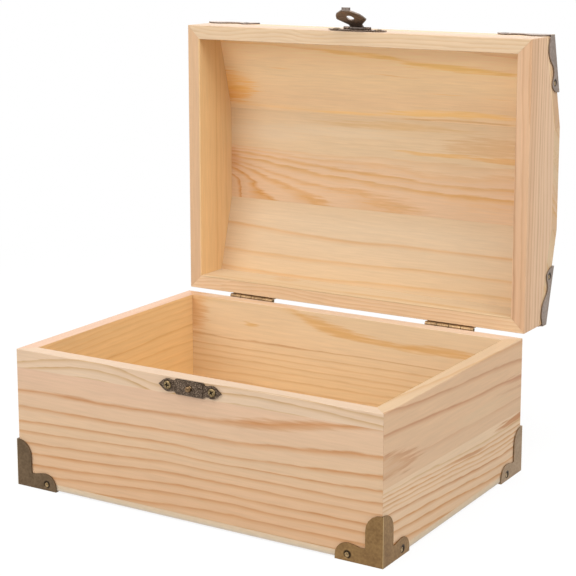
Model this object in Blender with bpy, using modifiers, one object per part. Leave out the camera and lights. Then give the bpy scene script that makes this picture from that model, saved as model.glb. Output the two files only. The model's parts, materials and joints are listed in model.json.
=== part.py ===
"""Pine treasure chest with a three-plank lid, bronzed corner brackets, two butt hinges and a hasp.

Metres, +Z up, +X right, -Y front. The box is modelled shut about the centre of its wooden underside, and
its lid then stands open on the hinge axis, with the hasp's flap off its shut line. Last of all the origin
moves to the middle of the underside of the whole.
"""

from math import cos, hypot, pi, radians, sin, tan

import bmesh
import bpy
from mathutils import Matrix, Vector

# Box
WIDTH = 0.200
DEPTH = 0.145
WALL = 0.0074
BOTTOM = 0.003
BASE_HEIGHT = 0.0674
LID_HEIGHT = 0.0385
LID_EDGE_HEIGHT = 0.0257
LID_FLAT = 0.0526
PLANK = 0.0075
GAP = 0.0003
RIM_GAP = 0.0003
OVERRUN = 0.004
WELD = 0.000005

# Poses at rest
LID_OPEN = radians(90)
FLAP_OFF = radians(35)

# Sheet brackets under the base
SHEET = 0.00045
FOOT_LEG_X = 0.0232
FOOT_LEG_Y = 0.0240
FOOT_LEG_Z = 0.0228
FOOT_LOW = 0.0068
FOOT_UP_FRONT = 0.0083
FOOT_UP_SIDE = 0.0089
FOOT_UNDER = 0.0072
FOOT_ROUND = 0.0064
FOOT_ROUND_UP = 0.0078
FOOT_NAIL_IN = 0.0170
FOOT_NAIL_SHARE = 0.67
FOOT_HUMP = 0.0011
FOOT_HUMP_SHARES = ((0.46, 0.0), (0.58, 0.62), (0.72, 1.0))

# Sheet brackets on the lid. The inner outline of an arm, from the corner to its tip, is given as
# shares of the arm's length and of its widest width.
ARM_LENGTH = 0.0298
ARM_WIDTH = 0.0077
ARM_DROP = 0.0043
ARM_MEET_SHARE = 1.05
ARM_NAIL_IN = 0.0235
ARM_NAIL_DOWN = 0.0035
ARM_SHARES = (
    (0.09, 0.92), (0.185, 1.0), (0.285, 0.985), (0.385, 0.82), (0.49, 0.55), (0.60, 0.48),
    (0.685, 0.64), (0.755, 0.87), (0.825, 0.91), (0.91, 0.66), (0.97, 0.34),
)

# Countersunk nails and screws: head and shank radii, the crown and the rim measured from the sheet's
# outer face, the length in the wood
NAIL = {"head": 0.00115, "shank": 0.00045, "crown": -0.0001, "rim": -0.00026, "length": 0.0060}
WOOD_LEFT = 0.0018
PLATE_SCREW = {"head": 0.0020, "shank": 0.0008, "crown": 0.0006, "rim": 0.0001, "length": WALL - WOOD_LEFT}
HINGE_SCREW = {"head": 0.0016, "shank": 0.0007, "crown": 0.0005, "rim": 0.0001, "length": WALL - WOOD_LEFT}
NAIL_SINK = 0.0018
SINK_CLEARANCE = 0.0003
SINK_FOOT_SHARE = 0.4
PILOT_CLEARANCE = 0.0002
FASTENER_SIDES = 12

# Butt hinges
HINGE_LENGTH = 0.0268
HINGE_LEAF = 0.0105
HINGE_SHEET = 0.0006
HINGE_CENTRE = 0.0593
KNUCKLE = 0.0013
KNUCKLE_CLEARANCE = 0.00025
HINGE_BACK = KNUCKLE + KNUCKLE_CLEARANCE
KNUCKLES = 4
HINGE_PIN = 0.00045
PIN_CLEARANCE = 0.0001
PIN_END = 0.0004
HINGE_SCREW_OUT = 0.0082
HINGE_SCREW_DOWN = 0.0063
HINGE_SIDES = 20
TONGUE_IN = 0.0001

# Hasp: both plates share one outline, from the middle of the top edge to the tip, given as shares of
# the half length and the half height
PLATE_HALF = 0.0170
PLATE_HIGH = 0.0036
PLATE_SHEET = 0.0006
PLATE_SHARES = (
    (0.43, 1.0), (0.455, 0.9), (0.475, 0.72), (0.57, 0.70), (0.62, 0.78), (0.68, 0.84), (0.76, 0.82),
    (0.85, 0.60),
)
PLATE_X = 0.0018
PLATE_SCREW_OUT = 0.0121
CATCH_DOWN = 0.0040
CATCH_BLOCK = 0.0073
CATCH_BLOCK_HIGH = 0.0033
CATCH_BLOCK_RISE = 0.0003
CATCH_BLOCK_CORNER = 0.0010
CATCH_RING = 0.0026
CATCH_RING_RISE = 0.0002
PEG = 0.00145
PEG_SHANK = 0.0010
PEG_RISE = 0.0019
PEG_CROWN = 0.0006
HASP_UP = 0.0050
HASP_BARREL = 0.0008
HASP_PIN = 0.00035
HASP_EYE_WALL = 0.00015
HASP_AXIS_OUT = GAP + PLATE_SHEET + HASP_PIN + PIN_CLEARANCE + HASP_EYE_WALL
HASP_LUG_END = 0.0077
HASP_WINDOW_HIGH = 0.0017
FLAP_SHEET = 0.0007
FLAP_INNER = 0.0002
FLAP_NECK = 0.0038
FLAP_NECK_TOP = 0.0005
FLAP_NECK_LONG = 0.0028
FLAP_SHOULDER = 0.0086
FLAP_SHOULDER_DOWN = 0.0079
FLAP_SIDE = 0.0077
FLAP_SIDE_DOWN = 0.0108
FLAP_CORNER = 0.0066
FLAP_CORNER_DOWN = 0.0128
FLAP_END = 0.0025
FLAP_LONG = 0.0159
SLOT_CLEARANCE = 0.0007
FLAP_SLOT = PEG + SLOT_CLEARANCE
TAB_LONG = 0.0022
TAB_HALF = 0.00235
TAB_BEND = radians(55)
HASP_SIDES = 16

# What follows from them
SLOPE = pi / 2 - Vector((0, (DEPTH - LID_FLAT) / 2, LID_HEIGHT - LID_EDGE_HEIGHT)).angle(Vector((0, 0, 1)))
LID_RIM = BASE_HEIGHT + RIM_GAP
AXIS = Vector((0, DEPTH / 2 + HINGE_BACK, BASE_HEIGHT + RIM_GAP / 2))
CATCH_Z = BASE_HEIGHT - CATCH_DOWN
HASP_Z = LID_RIM + HASP_UP
FRONT_REACH = DEPTH / 2 + GAP + PLATE_SHEET + CATCH_BLOCK_RISE + PEG_RISE
BACK_REACH = AXIS.y + LID_RIM - AXIS.z + LID_HEIGHT
ORIGIN = Vector((0, (BACK_REACH - FRONT_REACH) / 2, -GAP - SHEET))
FRONT, BACK, RIGHT, LEFT = Vector((0, -1, 0)), Vector((0, 1, 0)), Vector((1, 0, 0)), Vector((-1, 0, 0))

PINE = ("pine", (0.78, 0.56, 0.36), 0.55, 0.0)
PALE_PLY = ("pale_plywood", (0.80, 0.68, 0.52), 0.60, 0.0)
BRONZE = ("antique_bronze", (0.25, 0.17, 0.08), 0.42, 1.0)
DARK_BRONZE = ("dark_bronze", (0.14, 0.10, 0.07), 0.45, 1.0)
BRASSY = ("brassy_steel", (0.42, 0.35, 0.22), 0.35, 1.0)


def collection(name):
    made = bpy.data.collections.new(name)
    bpy.context.scene.collection.children.link(made)
    return made


def material(finish):
    name, colour, roughness, metallic = finish
    if name in bpy.data.materials:
        return bpy.data.materials[name]
    made = bpy.data.materials.new(name)
    made.use_nodes = True
    shader = made.node_tree.nodes["Principled BSDF"]
    shader.inputs["Base Color"].default_value = (*colour, 1)
    shader.inputs["Roughness"].default_value = roughness
    shader.inputs["Metallic"].default_value = metallic
    return made


def add(name, data, finish, parent=None, home="parts"):
    """An object at its parent's origin, in the collection of parts or of cutters."""
    made = bpy.data.objects.new(name, data)
    HOMES[home].objects.link(made)
    made.parent = parent
    if finish and not data.materials:
        data.materials.append(material(finish))
    if home == "cutters":
        made.hide_render = True
        made.display_type = "WIRE"
    return made


def carried(place, parent):
    """A point of the shut box in the coordinates of the frame that carries it."""
    return Vector(place) - (AXIS if parent else Vector())


def mesh_of(bm, name, outward=True):
    if outward:
        bmesh.ops.recalc_face_normals(bm, faces=bm.faces)
    mesh = bpy.data.meshes.new(name)
    bm.to_mesh(mesh)
    bm.free()
    return mesh


def trim(bm, point, normal):
    """Cuts off what lies beyond the plane and closes the cut."""
    everything = bm.verts[:] + bm.edges[:] + bm.faces[:]
    cut = bmesh.ops.bisect_plane(bm, geom=everything, plane_co=point, plane_no=normal, clear_outer=True)
    edges = [piece for piece in cut["geom_cut"] if isinstance(piece, bmesh.types.BMEdge)]
    bmesh.ops.contextual_create(bm, geom=edges)


def board(name, low, high, cuts, finish, parent=None):
    """A plank sawn from a rectangular blank between two corners."""
    low, high = carried(low, parent), carried(high, parent)
    bm = bmesh.new()
    bmesh.ops.create_cube(bm, size=1)
    bmesh.ops.scale(bm, vec=high - low, verts=bm.verts)
    bmesh.ops.translate(bm, vec=(low + high) / 2, verts=bm.verts)
    for point, normal in cuts:
        trim(bm, carried(point, parent), normal)
    return add(name, mesh_of(bm, name), finish, parent)


def mitre(side_x, side_y, along_x):
    """The cut at an upright corner, half a gap back from the mitre's middle."""
    normal = Vector((side_x, -side_y, 0)).normalized() * (1 if along_x else -1)
    return Vector((side_x * WIDTH / 2, side_y * DEPTH / 2, 0)) - normal * GAP / 2, normal


def boolean(target, cutter, operation="DIFFERENCE"):
    modifier = target.modifiers.new(operation.lower() + "_" + cutter.name, "BOOLEAN")
    modifier.operation = operation
    modifier.object = cutter
    modifier.solver = "MANIFOLD"
    return target


def turned(name, profile, sides, finish, parent=None, home="parts"):
    """A turned piece about its own Z axis, from a profile that runs down its outer side."""
    bm = bmesh.new()
    ring = profile[0] == profile[-1]
    verts = [bm.verts.new((radius, 0, height)) for radius, height in profile[ring:]]
    for upper, lower in zip(verts, verts[1:] + verts[:1] * ring):
        bm.edges.new((upper, lower))
    made = add(name, mesh_of(bm, name, outward=False), finish, parent, home)
    screw = made.modifiers.new("turn", "SCREW")
    screw.steps = sides
    screw.render_steps = sides
    screw.use_merge_vertices = True
    screw.merge_threshold = WELD
    screw.use_smooth_shade = True
    return made


def aim(piece, place, direction):
    """Puts a turned piece's origin at the place, with its +Z along the direction."""
    piece.location = place
    piece.rotation_euler = Vector(direction).to_track_quat("Z", "Y").to_euler()
    return piece


def bar(name, radius, half, place, sides, finish, parent):
    """A round bar along X."""
    profile = [(0, half), (radius, half), (radius, -half), (0, -half)]
    return aim(turned(name, profile, sides, finish, parent), place, RIGHT)


def tube(name, radius, bore, half, place, sides, parent):
    """A rolled eye along X, to be joined to its sheet."""
    profile = [(bore, half), (radius, half), (radius, -half), (bore, -half), (bore, half)]
    return aim(turned(name, profile, sides, None, parent, "cutters"), place, RIGHT)


def sheet_piece(name, outline, thickness, place, parent, finish, home="parts"):
    """A flat sheet with an outline in X and Z, lying from the place towards the front."""
    curve = bpy.data.curves.new(name, "CURVE")
    curve.dimensions = "2D"
    curve.fill_mode = "BOTH"
    curve.extrude = thickness / 2
    spline = curve.splines.new("POLY")
    spline.points.add(len(outline) - 1)
    for point, (x, z) in zip(spline.points, outline):
        point.co = (x, z, 0, 1)
    spline.use_cyclic_u = True
    flat = bpy.data.objects.new(name, curve)
    HOMES["parts"].objects.link(flat)
    mesh = bpy.data.meshes.new_from_object(flat.evaluated_get(bpy.context.evaluated_depsgraph_get()))
    bpy.data.objects.remove(flat)
    bpy.data.curves.remove(curve)
    mesh.transform(Matrix.Translation((0, -thickness / 2, 0)) @ Matrix.Rotation(pi / 2, 4, "X"))
    bm = bmesh.new()
    bm.from_mesh(mesh)
    bmesh.ops.remove_doubles(bm, verts=bm.verts, dist=WELD)
    made = add(name, mesh_of(bm, name), finish, parent, home)
    made.location = place
    return made


def smooth(points, steps=2):
    """The points with steps - 1 more between each two, on a Catmull-Rom curve."""
    made = []
    for i in range(len(points) - 1):
        a, b, c, d = (Vector(points[j]) for j in (max(i - 1, 0), i, i + 1, min(i + 2, len(points) - 1)))
        for t in (step / steps for step in range(steps)):
            made.append((2 * b + (c - a) * t + (2 * a - 5 * b + 4 * c - d) * t**2
                         + (3 * b - a - 3 * c + d) * t**3) / 2)
    return made + [Vector(points[-1])]


def arc(centre, radius, start, end, steps=5):
    turns = [start + (end - start) * step / steps for step in range(steps + 1)]
    return [Vector((centre[0] + radius * cos(turn), centre[1] + radius * sin(turn))) for turn in turns]


def sunk(fastener, thickness):
    """Profiles of a countersunk nail or screw and of the cutter that makes room for it."""
    face = GAP + thickness
    head, shank, length = fastener["head"], fastener["shank"], fastener["length"]
    crown, rim = face + fastener["crown"], face + fastener["rim"]
    middle = (head / 2, rim + (crown - rim) * 3 / 4)
    body = [(0, crown), middle, (head, rim), (head - shank / 4, rim - thickness / 4), (shank, GAP / 2),
            (shank, shank - length), (0, -length)]
    top = fastener.get("sink", head + SINK_CLEARANCE)
    foot = shank + (top - shank) * SINK_FOOT_SHARE
    slope = (top - foot) / thickness
    pilot = shank + PILOT_CLEARANCE
    room = [(0, face + OVERRUN), (top, face + OVERRUN), (top, face), (foot - slope * GAP / 2, GAP / 2),
            (pilot, GAP / 2), (pilot, -length - GAP), (0, -length - GAP)]
    return body, room


def fasten(name, fastener, thickness, place, direction, parent, finish, through):
    """A countersunk fastener whose place is on the wood's face, and its holes in what it goes through."""
    body, room = sunk(fastener, thickness)
    place = carried(place, parent)
    aim(turned(name, body, FASTENER_SIDES, finish, parent), place, direction)
    cutter = turned(name + "_room", room, FASTENER_SIDES, None, parent, "cutters")
    aim(cutter, place, direction)
    for target in through:
        boolean(target, cutter)


def folded(name, corner, faces, parent, finish):
    """A bracket of folded sheet: flat faces that share their fold lines, thickened outwards."""
    bm = bmesh.new()
    for across, along, outline in faces:
        verts = [bm.verts.new(corner + across * p + along * q) for p, q in outline]
        bm.faces.new(verts)
    bmesh.ops.remove_doubles(bm, verts=bm.verts, dist=WELD)
    for face, (across, along, _) in zip(bm.faces, faces):
        inward = sum((other[0] + other[1] for other in faces), Vector())
        if face.normal.dot(inward) > 0:
            face.normal_flip()
    made = add(name, mesh_of(bm, name, outward=False), finish, parent)
    solidify = made.modifiers.new("sheet", "SOLIDIFY")
    solidify.thickness = SHEET
    solidify.offset = 1
    solidify.use_even_offset = True
    solidify.use_quality_normals = True
    return made


def foot_outline(long_p, wide_p, long_q, wide_q, round_p, round_q, hump=0):
    """One face of a foot bracket: a leg along p, humped over its nail, and a leg along q, with free sides
    rounded."""
    high_p = wide_p + hump
    low = arc((long_p - round_p, high_p - round_p), round_p, 0, pi / 2)
    swell = [(long_p * p, wide_p + hump * q) for p, q in reversed(FOOT_HUMP_SHARES)] if hump else []
    high = arc((wide_q - round_q, long_q - round_q), round_q, 0, pi / 2)
    return [(0, 0), (long_p, 0), *low, *swell[1:], (wide_q, wide_p), *high, (0, long_q)]


def arm_outline():
    """The inner outline of a lid bracket's arm, from beside the corner to the tip."""
    points = [(ARM_LENGTH * p, ARM_WIDTH * q) for p, q in ARM_SHARES] + [(ARM_LENGTH, 0)]
    return smooth(points)


def plate_outline():
    quarter = [(PLATE_HALF * x, PLATE_HIGH * z) for x, z in PLATE_SHARES]
    right = quarter + [(PLATE_HALF, 0)] + [(x, -z) for x, z in reversed(quarter)]
    return right + [(-x, z) for x, z in reversed(right)]


def build_base():
    half_x, half_y = WIDTH / 2, DEPTH / 2
    floor = BOTTOM + GAP
    panel = board("bottom_panel", (-half_x, -half_y, 0), (half_x, half_y, BOTTOM), [], PALE_PLY)
    walls = {}
    for name, side in (("front", -1), ("back", 1)):
        low, high = sorted((side * half_y, side * (half_y - WALL)))
        corners = (-half_x, low, floor), (half_x, high, BASE_HEIGHT)
        cuts = [mitre(-1, side, True), mitre(1, side, True)]
        walls[name] = board(f"base_{name}_wall", *corners, cuts, PINE)
    for name, side in (("left", -1), ("right", 1)):
        low, high = sorted((side * half_x, side * (half_x - WALL)))
        corners = (low, -half_y, floor), (high, half_y, BASE_HEIGHT)
        cuts = [mitre(side, -1, False), mitre(side, 1, False)]
        walls[name] = board(f"base_{name}_wall", *corners, cuts, PINE)
    for name_y, side_y in (("front", -1), ("back", 1)):
        for name_x, side_x in (("left", -1), ("right", 1)):
            build_foot(f"base_bracket_{name_y}_{name_x}", side_x, side_y, panel)
    return walls


def build_foot(name, side_x, side_y, panel):
    in_x, in_y, up = Vector((-side_x, 0, 0)), Vector((0, -side_y, 0)), Vector((0, 0, 1))
    corner = Vector((side_x * (WIDTH / 2 + GAP), side_y * (DEPTH / 2 + GAP), -GAP))
    rounds = FOOT_ROUND, FOOT_ROUND_UP
    front = foot_outline(FOOT_LEG_X, FOOT_LOW, FOOT_LEG_Z, FOOT_UP_FRONT, *rounds, FOOT_HUMP)
    side = foot_outline(FOOT_LEG_Y, FOOT_LOW, FOOT_LEG_Z, FOOT_UP_SIDE, *rounds, FOOT_HUMP)
    under = foot_outline(FOOT_LEG_X, FOOT_UNDER, FOOT_LEG_Y, FOOT_UNDER, FOOT_ROUND, FOOT_ROUND)
    faces = ((in_x, up, front), (in_y, up, side), (in_x, in_y, under))
    bracket = folded(name, corner, faces, None, BRONZE)
    nail = {**NAIL, "sink": NAIL_SINK}
    nail_up = BOTTOM * FOOT_NAIL_SHARE
    wall_place = (side_x * (WIDTH / 2 - FOOT_NAIL_IN), side_y * DEPTH / 2, nail_up)
    fasten(name + "_wall_nail", nail, SHEET, wall_place, -in_y, None, BRASSY, (bracket, panel))
    side_place = (side_x * WIDTH / 2, side_y * (DEPTH / 2 - FOOT_NAIL_IN), nail_up)
    fasten(name + "_side_nail", nail, SHEET, side_place, -in_x, None, BRASSY, (bracket, panel))


def slope_cut(side, drop, keep_below):
    """A cut along the lid's slope, this far square below its outer face."""
    normal = Vector((0, side * sin(SLOPE), cos(SLOPE))) * (1 if keep_below else -1)
    edge = Vector((0, side * DEPTH / 2, LID_RIM + LID_EDGE_HEIGHT))
    return edge - Vector((0, side * sin(SLOPE), cos(SLOPE))) * drop, normal


def ridge_cut(side, keep_middle):
    """The mitre between the top plank and a sloping one, half a gap back."""
    normal = Vector((0, side * cos(SLOPE / 2), -sin(SLOPE / 2))) * (1 if keep_middle else -1)
    return Vector((0, side * LID_FLAT / 2, LID_RIM + LID_HEIGHT)) - normal * GAP / 2, normal


def build_lid(lid):
    half_x, half_y = WIDTH / 2, DEPTH / 2
    top = LID_RIM + LID_HEIGHT
    under = PLANK + GAP
    pieces = {}
    for name, side in (("front", -1), ("back", 1)):
        low, high = sorted((side * half_y, side * (half_y - WALL)))
        corners = (-half_x, low, LID_RIM), (half_x, high, top)
        cuts = [mitre(-1, side, True), mitre(1, side, True), slope_cut(side, under, True)]
        pieces[name] = board(f"lid_{name}_wall", *corners, cuts, PINE, lid)
    for name, side in (("left", -1), ("right", 1)):
        low, high = sorted((side * half_x, side * (half_x - WALL)))
        cuts = [mitre(side, -1, False), mitre(side, 1, False)]
        cuts += [slope_cut(-1, under, True), slope_cut(1, under, True)]
        board(f"lid_{name}_end", (low, -half_y, LID_RIM), (high, half_y, top - under), cuts, PINE, lid)
    ridges = [ridge_cut(-1, True), ridge_cut(1, True)]
    board("lid_top_plank", (-half_x, -half_y, top - PLANK), (half_x, half_y, top), ridges, PINE, lid)
    for name, side in (("front", -1), ("back", 1)):
        low, high = sorted((0, side * half_y))
        cuts = [slope_cut(side, 0, True), slope_cut(side, PLANK, False), ridge_cut(side, False)]
        corners = (-half_x, low, LID_RIM), (half_x, high, top)
        pieces[name + "_plank"] = board(f"lid_{name}_plank", *corners, cuts, PINE, lid)
    for name_y, side_y in (("front", -1), ("back", 1)):
        for name_x, side_x in (("left", -1), ("right", 1)):
            plank = pieces[name_y + "_plank"]
            build_arm_bracket(f"lid_bracket_{name_y}_{name_x}", side_x, side_y, plank, lid)
    return pieces


def build_arm_bracket(name, side_x, side_y, plank, lid):
    in_x, down = Vector((-side_x, 0, 0)), Vector((0, 0, -1))
    slope = Vector((0, -side_y * cos(SLOPE), sin(SLOPE)))
    inward = Vector((0, -side_y * sin(SLOPE), -cos(SLOPE)))
    rise = GAP / cos(SLOPE) - GAP * tan(SLOPE)
    edge = Vector((side_x * WIDTH / 2, side_y * DEPTH / 2, LID_RIM + LID_EDGE_HEIGHT))
    corner = carried(edge + Vector((side_x * GAP, side_y * GAP, rise)), lid)
    arm = arm_outline()
    tip = (ARM_LENGTH, 0)
    inner = list(reversed(arm[:-1]))
    meeting = [point for point in inner if point[0] > point[1] * ARM_MEET_SHARE]
    front = [(0, 0), tip, *inner, (0, ARM_DROP)]
    end = [(0, 0), tip, *inner, (-ARM_DROP * sin(SLOPE), ARM_DROP * cos(SLOPE))]
    top = [(0, 0), tip, *meeting, *[(q, p) for p, q in reversed(meeting)], (0, ARM_LENGTH)]
    faces = ((in_x, down, front), (slope, inward, end), (in_x, slope, top))
    bracket = folded(name, corner, faces, lid, BRONZE)
    nail = {**NAIL, "sink": NAIL_SINK}
    wall_place = edge + in_x * ARM_NAIL_IN + down * ARM_NAIL_DOWN
    fasten(name + "_wall_nail", nail, SHEET, wall_place, (0, side_y, 0), lid, BRASSY, (bracket, plank))
    end_place = edge + slope * ARM_NAIL_IN + inward * ARM_NAIL_DOWN
    fasten(name + "_end_nail", nail, SHEET, end_place, -in_x, lid, BRASSY, (bracket, plank))


def build_leaf(name, centre, own, upward, wall, parent, finish=BRONZE):
    """A hinge leaf on a back wall, with its own knuckles of the row and notches for the others."""
    pitch = (HINGE_LENGTH + GAP) / KNUCKLES
    notch = KNUCKLE + GAP
    edge = HINGE_LENGTH / 2 - TONGUE_IN
    outline = [(edge, -HINGE_LEAF), (-edge, -HINGE_LEAF)]
    middles = []
    for index in range(KNUCKLES):
        start = index * pitch - HINGE_LENGTH / 2
        end = start + pitch - GAP
        if index % 2 == own:
            middles.append((start + end) / 2)
            outline += [(start + TONGUE_IN, 0), (end - TONGUE_IN, 0)]
        else:
            left = max(start - GAP - TONGUE_IN, -edge)
            right = min(end + GAP + TONGUE_IN, edge)
            outline += [(left, -notch), (right, -notch)]
    outline = [(x, z * (-1 if upward else 1)) for x, z in outline]
    axis = carried(AXIS + Vector((centre, 0, 0)), parent)
    face = axis - Vector((0, HINGE_BACK - GAP - HINGE_SHEET, 0))
    leaf = sheet_piece(name, outline, HINGE_SHEET, face, parent, finish)
    for index, middle in enumerate(middles):
        place = axis + Vector((middle, 0, 0))
        eye = f"{name}_knuckle_{index}"
        bore = HINGE_PIN + PIN_CLEARANCE
        boolean(leaf, tube(eye, KNUCKLE, bore, (pitch - GAP) / 2, place, HINGE_SIDES, parent), "UNION")
    for side_name, side in (("left", -1), ("right", 1)):
        height = HINGE_SCREW_DOWN * (1 if upward else -1)
        place = Vector((centre + side * HINGE_SCREW_OUT, DEPTH / 2, AXIS.z + height))
        screw = f"{name}_screw_{side_name}"
        fasten(screw, HINGE_SCREW, HINGE_SHEET, place, BACK, parent, BRASSY, (leaf, wall))


def build_hinges(base_wall, lid_wall, lid):
    for name, side in (("left", -1), ("right", 1)):
        centre = side * HINGE_CENTRE
        build_leaf(f"hinge_{name}_base_leaf", centre, 0, False, base_wall, None)
        build_leaf(f"hinge_{name}_lid_leaf", centre, 1, True, lid_wall, lid)
        half = HINGE_LENGTH / 2 + PIN_END
        place = AXIS + Vector((centre, 0, 0))
        bar(f"hinge_{name}_pin", HINGE_PIN, half, place, HINGE_SIDES, BRASSY, None)


def build_plate(name, height, wall, parent):
    """The spindle-shaped plate that carries the catch or the flap, screwed to a front wall."""
    place = carried((PLATE_X, -DEPTH / 2 - GAP, height), parent)
    plate = sheet_piece(name, plate_outline(), PLATE_SHEET, place, parent, DARK_BRONZE)
    for side_name, side in (("left", -1), ("right", 1)):
        screw_place = (PLATE_X + side * PLATE_SCREW_OUT, -DEPTH / 2, height)
        through = (plate, wall)
        screw = f"{name}_screw_{side_name}"
        fasten(screw, PLATE_SCREW, PLATE_SHEET, screw_place, FRONT, parent, BRASSY, through)
    return plate


def build_catch(wall):
    plate = build_plate("catch_plate", CATCH_Z, wall, None)
    shoulder, cheek = CATCH_BLOCK - CATCH_BLOCK_CORNER, CATCH_BLOCK_HIGH - CATCH_BLOCK_CORNER
    upper = [(CATCH_BLOCK, cheek), (shoulder, CATCH_BLOCK_HIGH)]
    right = [(x, -z) for x, z in reversed(upper)] + upper
    corners = right + [(-x, z) for x, z in reversed(right)]
    middle = (PLATE_X, -DEPTH / 2 - GAP - PLATE_SHEET / 2, CATCH_Z)
    rise = PLATE_SHEET / 2 + CATCH_BLOCK_RISE
    boolean(plate, sheet_piece("catch_block", corners, rise, middle, None, None, "cutters"), "UNION")
    face = GAP + PLATE_SHEET + CATCH_BLOCK_RISE
    place = Vector((PLATE_X, -DEPTH / 2, CATCH_Z))
    inside = PEG + GAP
    foot = GAP + PLATE_SHEET / 2
    crest = face + CATCH_RING_RISE
    profile = [(inside, crest), ((inside + CATCH_RING) / 2, crest), (CATCH_RING, face), (CATCH_RING, foot),
               (inside, foot), (inside, crest)]
    ring = aim(turned("catch_ring", profile, HASP_SIDES, None, None, "cutters"), place, FRONT)
    boolean(plate, ring, "UNION")
    hole = PEG_SHANK + GAP
    room = [(0, face + OVERRUN), (hole, face + OVERRUN), (hole, -OVERRUN), (0, -OVERRUN)]
    boolean(plate, aim(turned("catch_peg_room", room, HASP_SIDES, None, None, "cutters"), place, FRONT))
    top = face + PEG_RISE
    dome = [(PEG * sin(turn), top - PEG_CROWN * (1 - cos(turn))) for turn in (0, pi / 6, pi / 3, pi / 2)]
    profile = dome + [(PEG, face + GAP), (PEG_SHANK, face + GAP), (PEG_SHANK, GAP), (0, GAP)]
    aim(turned("catch_peg", profile, HASP_SIDES, BRASSY), place, FRONT)


def build_hasp(wall, lid, flap_frame):
    plate = build_plate("hasp_plate", HASP_Z, wall, lid)
    axis = carried((PLATE_X, -DEPTH / 2 - HASP_AXIS_OUT, HASP_Z), lid)
    bore = HASP_PIN + PIN_CLEARANCE
    window_half = FLAP_NECK + GAP * 3 / 2
    corners = [(x * window_half, z * HASP_WINDOW_HIGH) for x, z in ((-1, -1), (1, -1), (1, 1), (-1, 1))]
    behind = carried((PLATE_X, -DEPTH / 2 + OVERRUN, HASP_Z), lid)
    window = sheet_piece("hasp_window", corners, OVERRUN * 2 + PLATE_SHEET, behind, lid, None, "cutters")
    for side_name, side in (("left", -1), ("right", 1)):
        inner = window_half + TONGUE_IN
        place = axis + Vector((side * (HASP_LUG_END + inner) / 2, 0, 0))
        half = (HASP_LUG_END - inner) / 2
        lug = tube("hasp_lug_" + side_name, HASP_BARREL, bore, half, place, HASP_SIDES, lid)
        boolean(plate, lug, "UNION")
    boolean(plate, window)
    bar("hasp_pin", HASP_PIN, HASP_LUG_END - GAP, axis, HASP_SIDES, BRASSY, lid)
    build_flap(flap_frame, bore)


def build_flap(frame, bore):
    """The flap hangs along -Z from its barrel and faces -Y, in the frame that swings it."""
    half = [(FLAP_NECK, -FLAP_NECK_TOP), (FLAP_NECK, -FLAP_NECK_LONG), (FLAP_SHOULDER, -FLAP_SHOULDER_DOWN),
            (FLAP_SIDE, -FLAP_SIDE_DOWN), (FLAP_CORNER, -FLAP_CORNER_DOWN), (FLAP_END, -FLAP_LONG)]
    outline = half + [(-x, z) for x, z in reversed(half)]
    flap = sheet_piece("hasp_flap", outline, FLAP_SHEET, (0, -FLAP_INNER, 0), frame, DARK_BRONZE)
    half_barrel = FLAP_NECK + GAP / 2
    barrel = tube("flap_barrel", HASP_BARREL, bore, half_barrel, (0, 0, 0), HASP_SIDES, frame)
    boolean(flap, barrel, "UNION")
    tab_outline = [(x * TAB_HALF, z) for x, z in ((-1, 0), (1, 0), (1, -TAB_LONG), (-1, -TAB_LONG))]
    root = FLAP_LONG - FLAP_SHEET
    tab = sheet_piece("flap_tab", tab_outline, FLAP_SHEET, (0, -FLAP_INNER, -root), frame, None, "cutters")
    tab.rotation_euler = (-TAB_BEND, 0, 0)
    boolean(flap, tab, "UNION")
    slot = HASP_Z - CATCH_Z
    hole = [(0, OVERRUN), (FLAP_SLOT, OVERRUN), (FLAP_SLOT, -OVERRUN), (0, -OVERRUN)]
    cutter = turned("flap_slot", hole, HASP_SIDES, None, frame, "cutters")
    boolean(flap, aim(cutter, (0, -FLAP_INNER, -slot), FRONT))


def empty(name, place, turn, parent=None):
    made = bpy.data.objects.new(name, None)
    HOMES["parts"].objects.link(made)
    made.parent = parent
    made.location = place
    made.rotation_euler = (turn, 0, 0)
    return made


for old in list(bpy.data.objects):
    bpy.data.objects.remove(old)
HOMES = {"parts": collection("treasure_chest"), "cutters": collection("cutters")}
HOMES["cutters"].hide_render = True
lid_frame = empty("lid_axis", AXIS, -LID_OPEN)
flap_place = carried((PLATE_X, -DEPTH / 2 - HASP_AXIS_OUT, HASP_Z), lid_frame)
flap_frame = empty("flap_axis", flap_place, -FLAP_OFF, lid_frame)
base = build_base()
lid_pieces = build_lid(lid_frame)
build_hinges(base["back"], lid_pieces["back"], lid_frame)
build_catch(base["front"])
build_hasp(lid_pieces["front"], lid_frame, flap_frame)
for made in bpy.data.objects:
    if not made.parent:
        made.location -= ORIGIN
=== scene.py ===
"""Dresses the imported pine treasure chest: boards with rounded arrises, grain, bronzed metal and light."""

import json
from math import cos, hypot, pi, radians, sin, tau

import bmesh
import bpy
from bpy.props import FloatProperty, FloatVectorProperty, PointerProperty
from mathutils import Matrix, Vector

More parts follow.
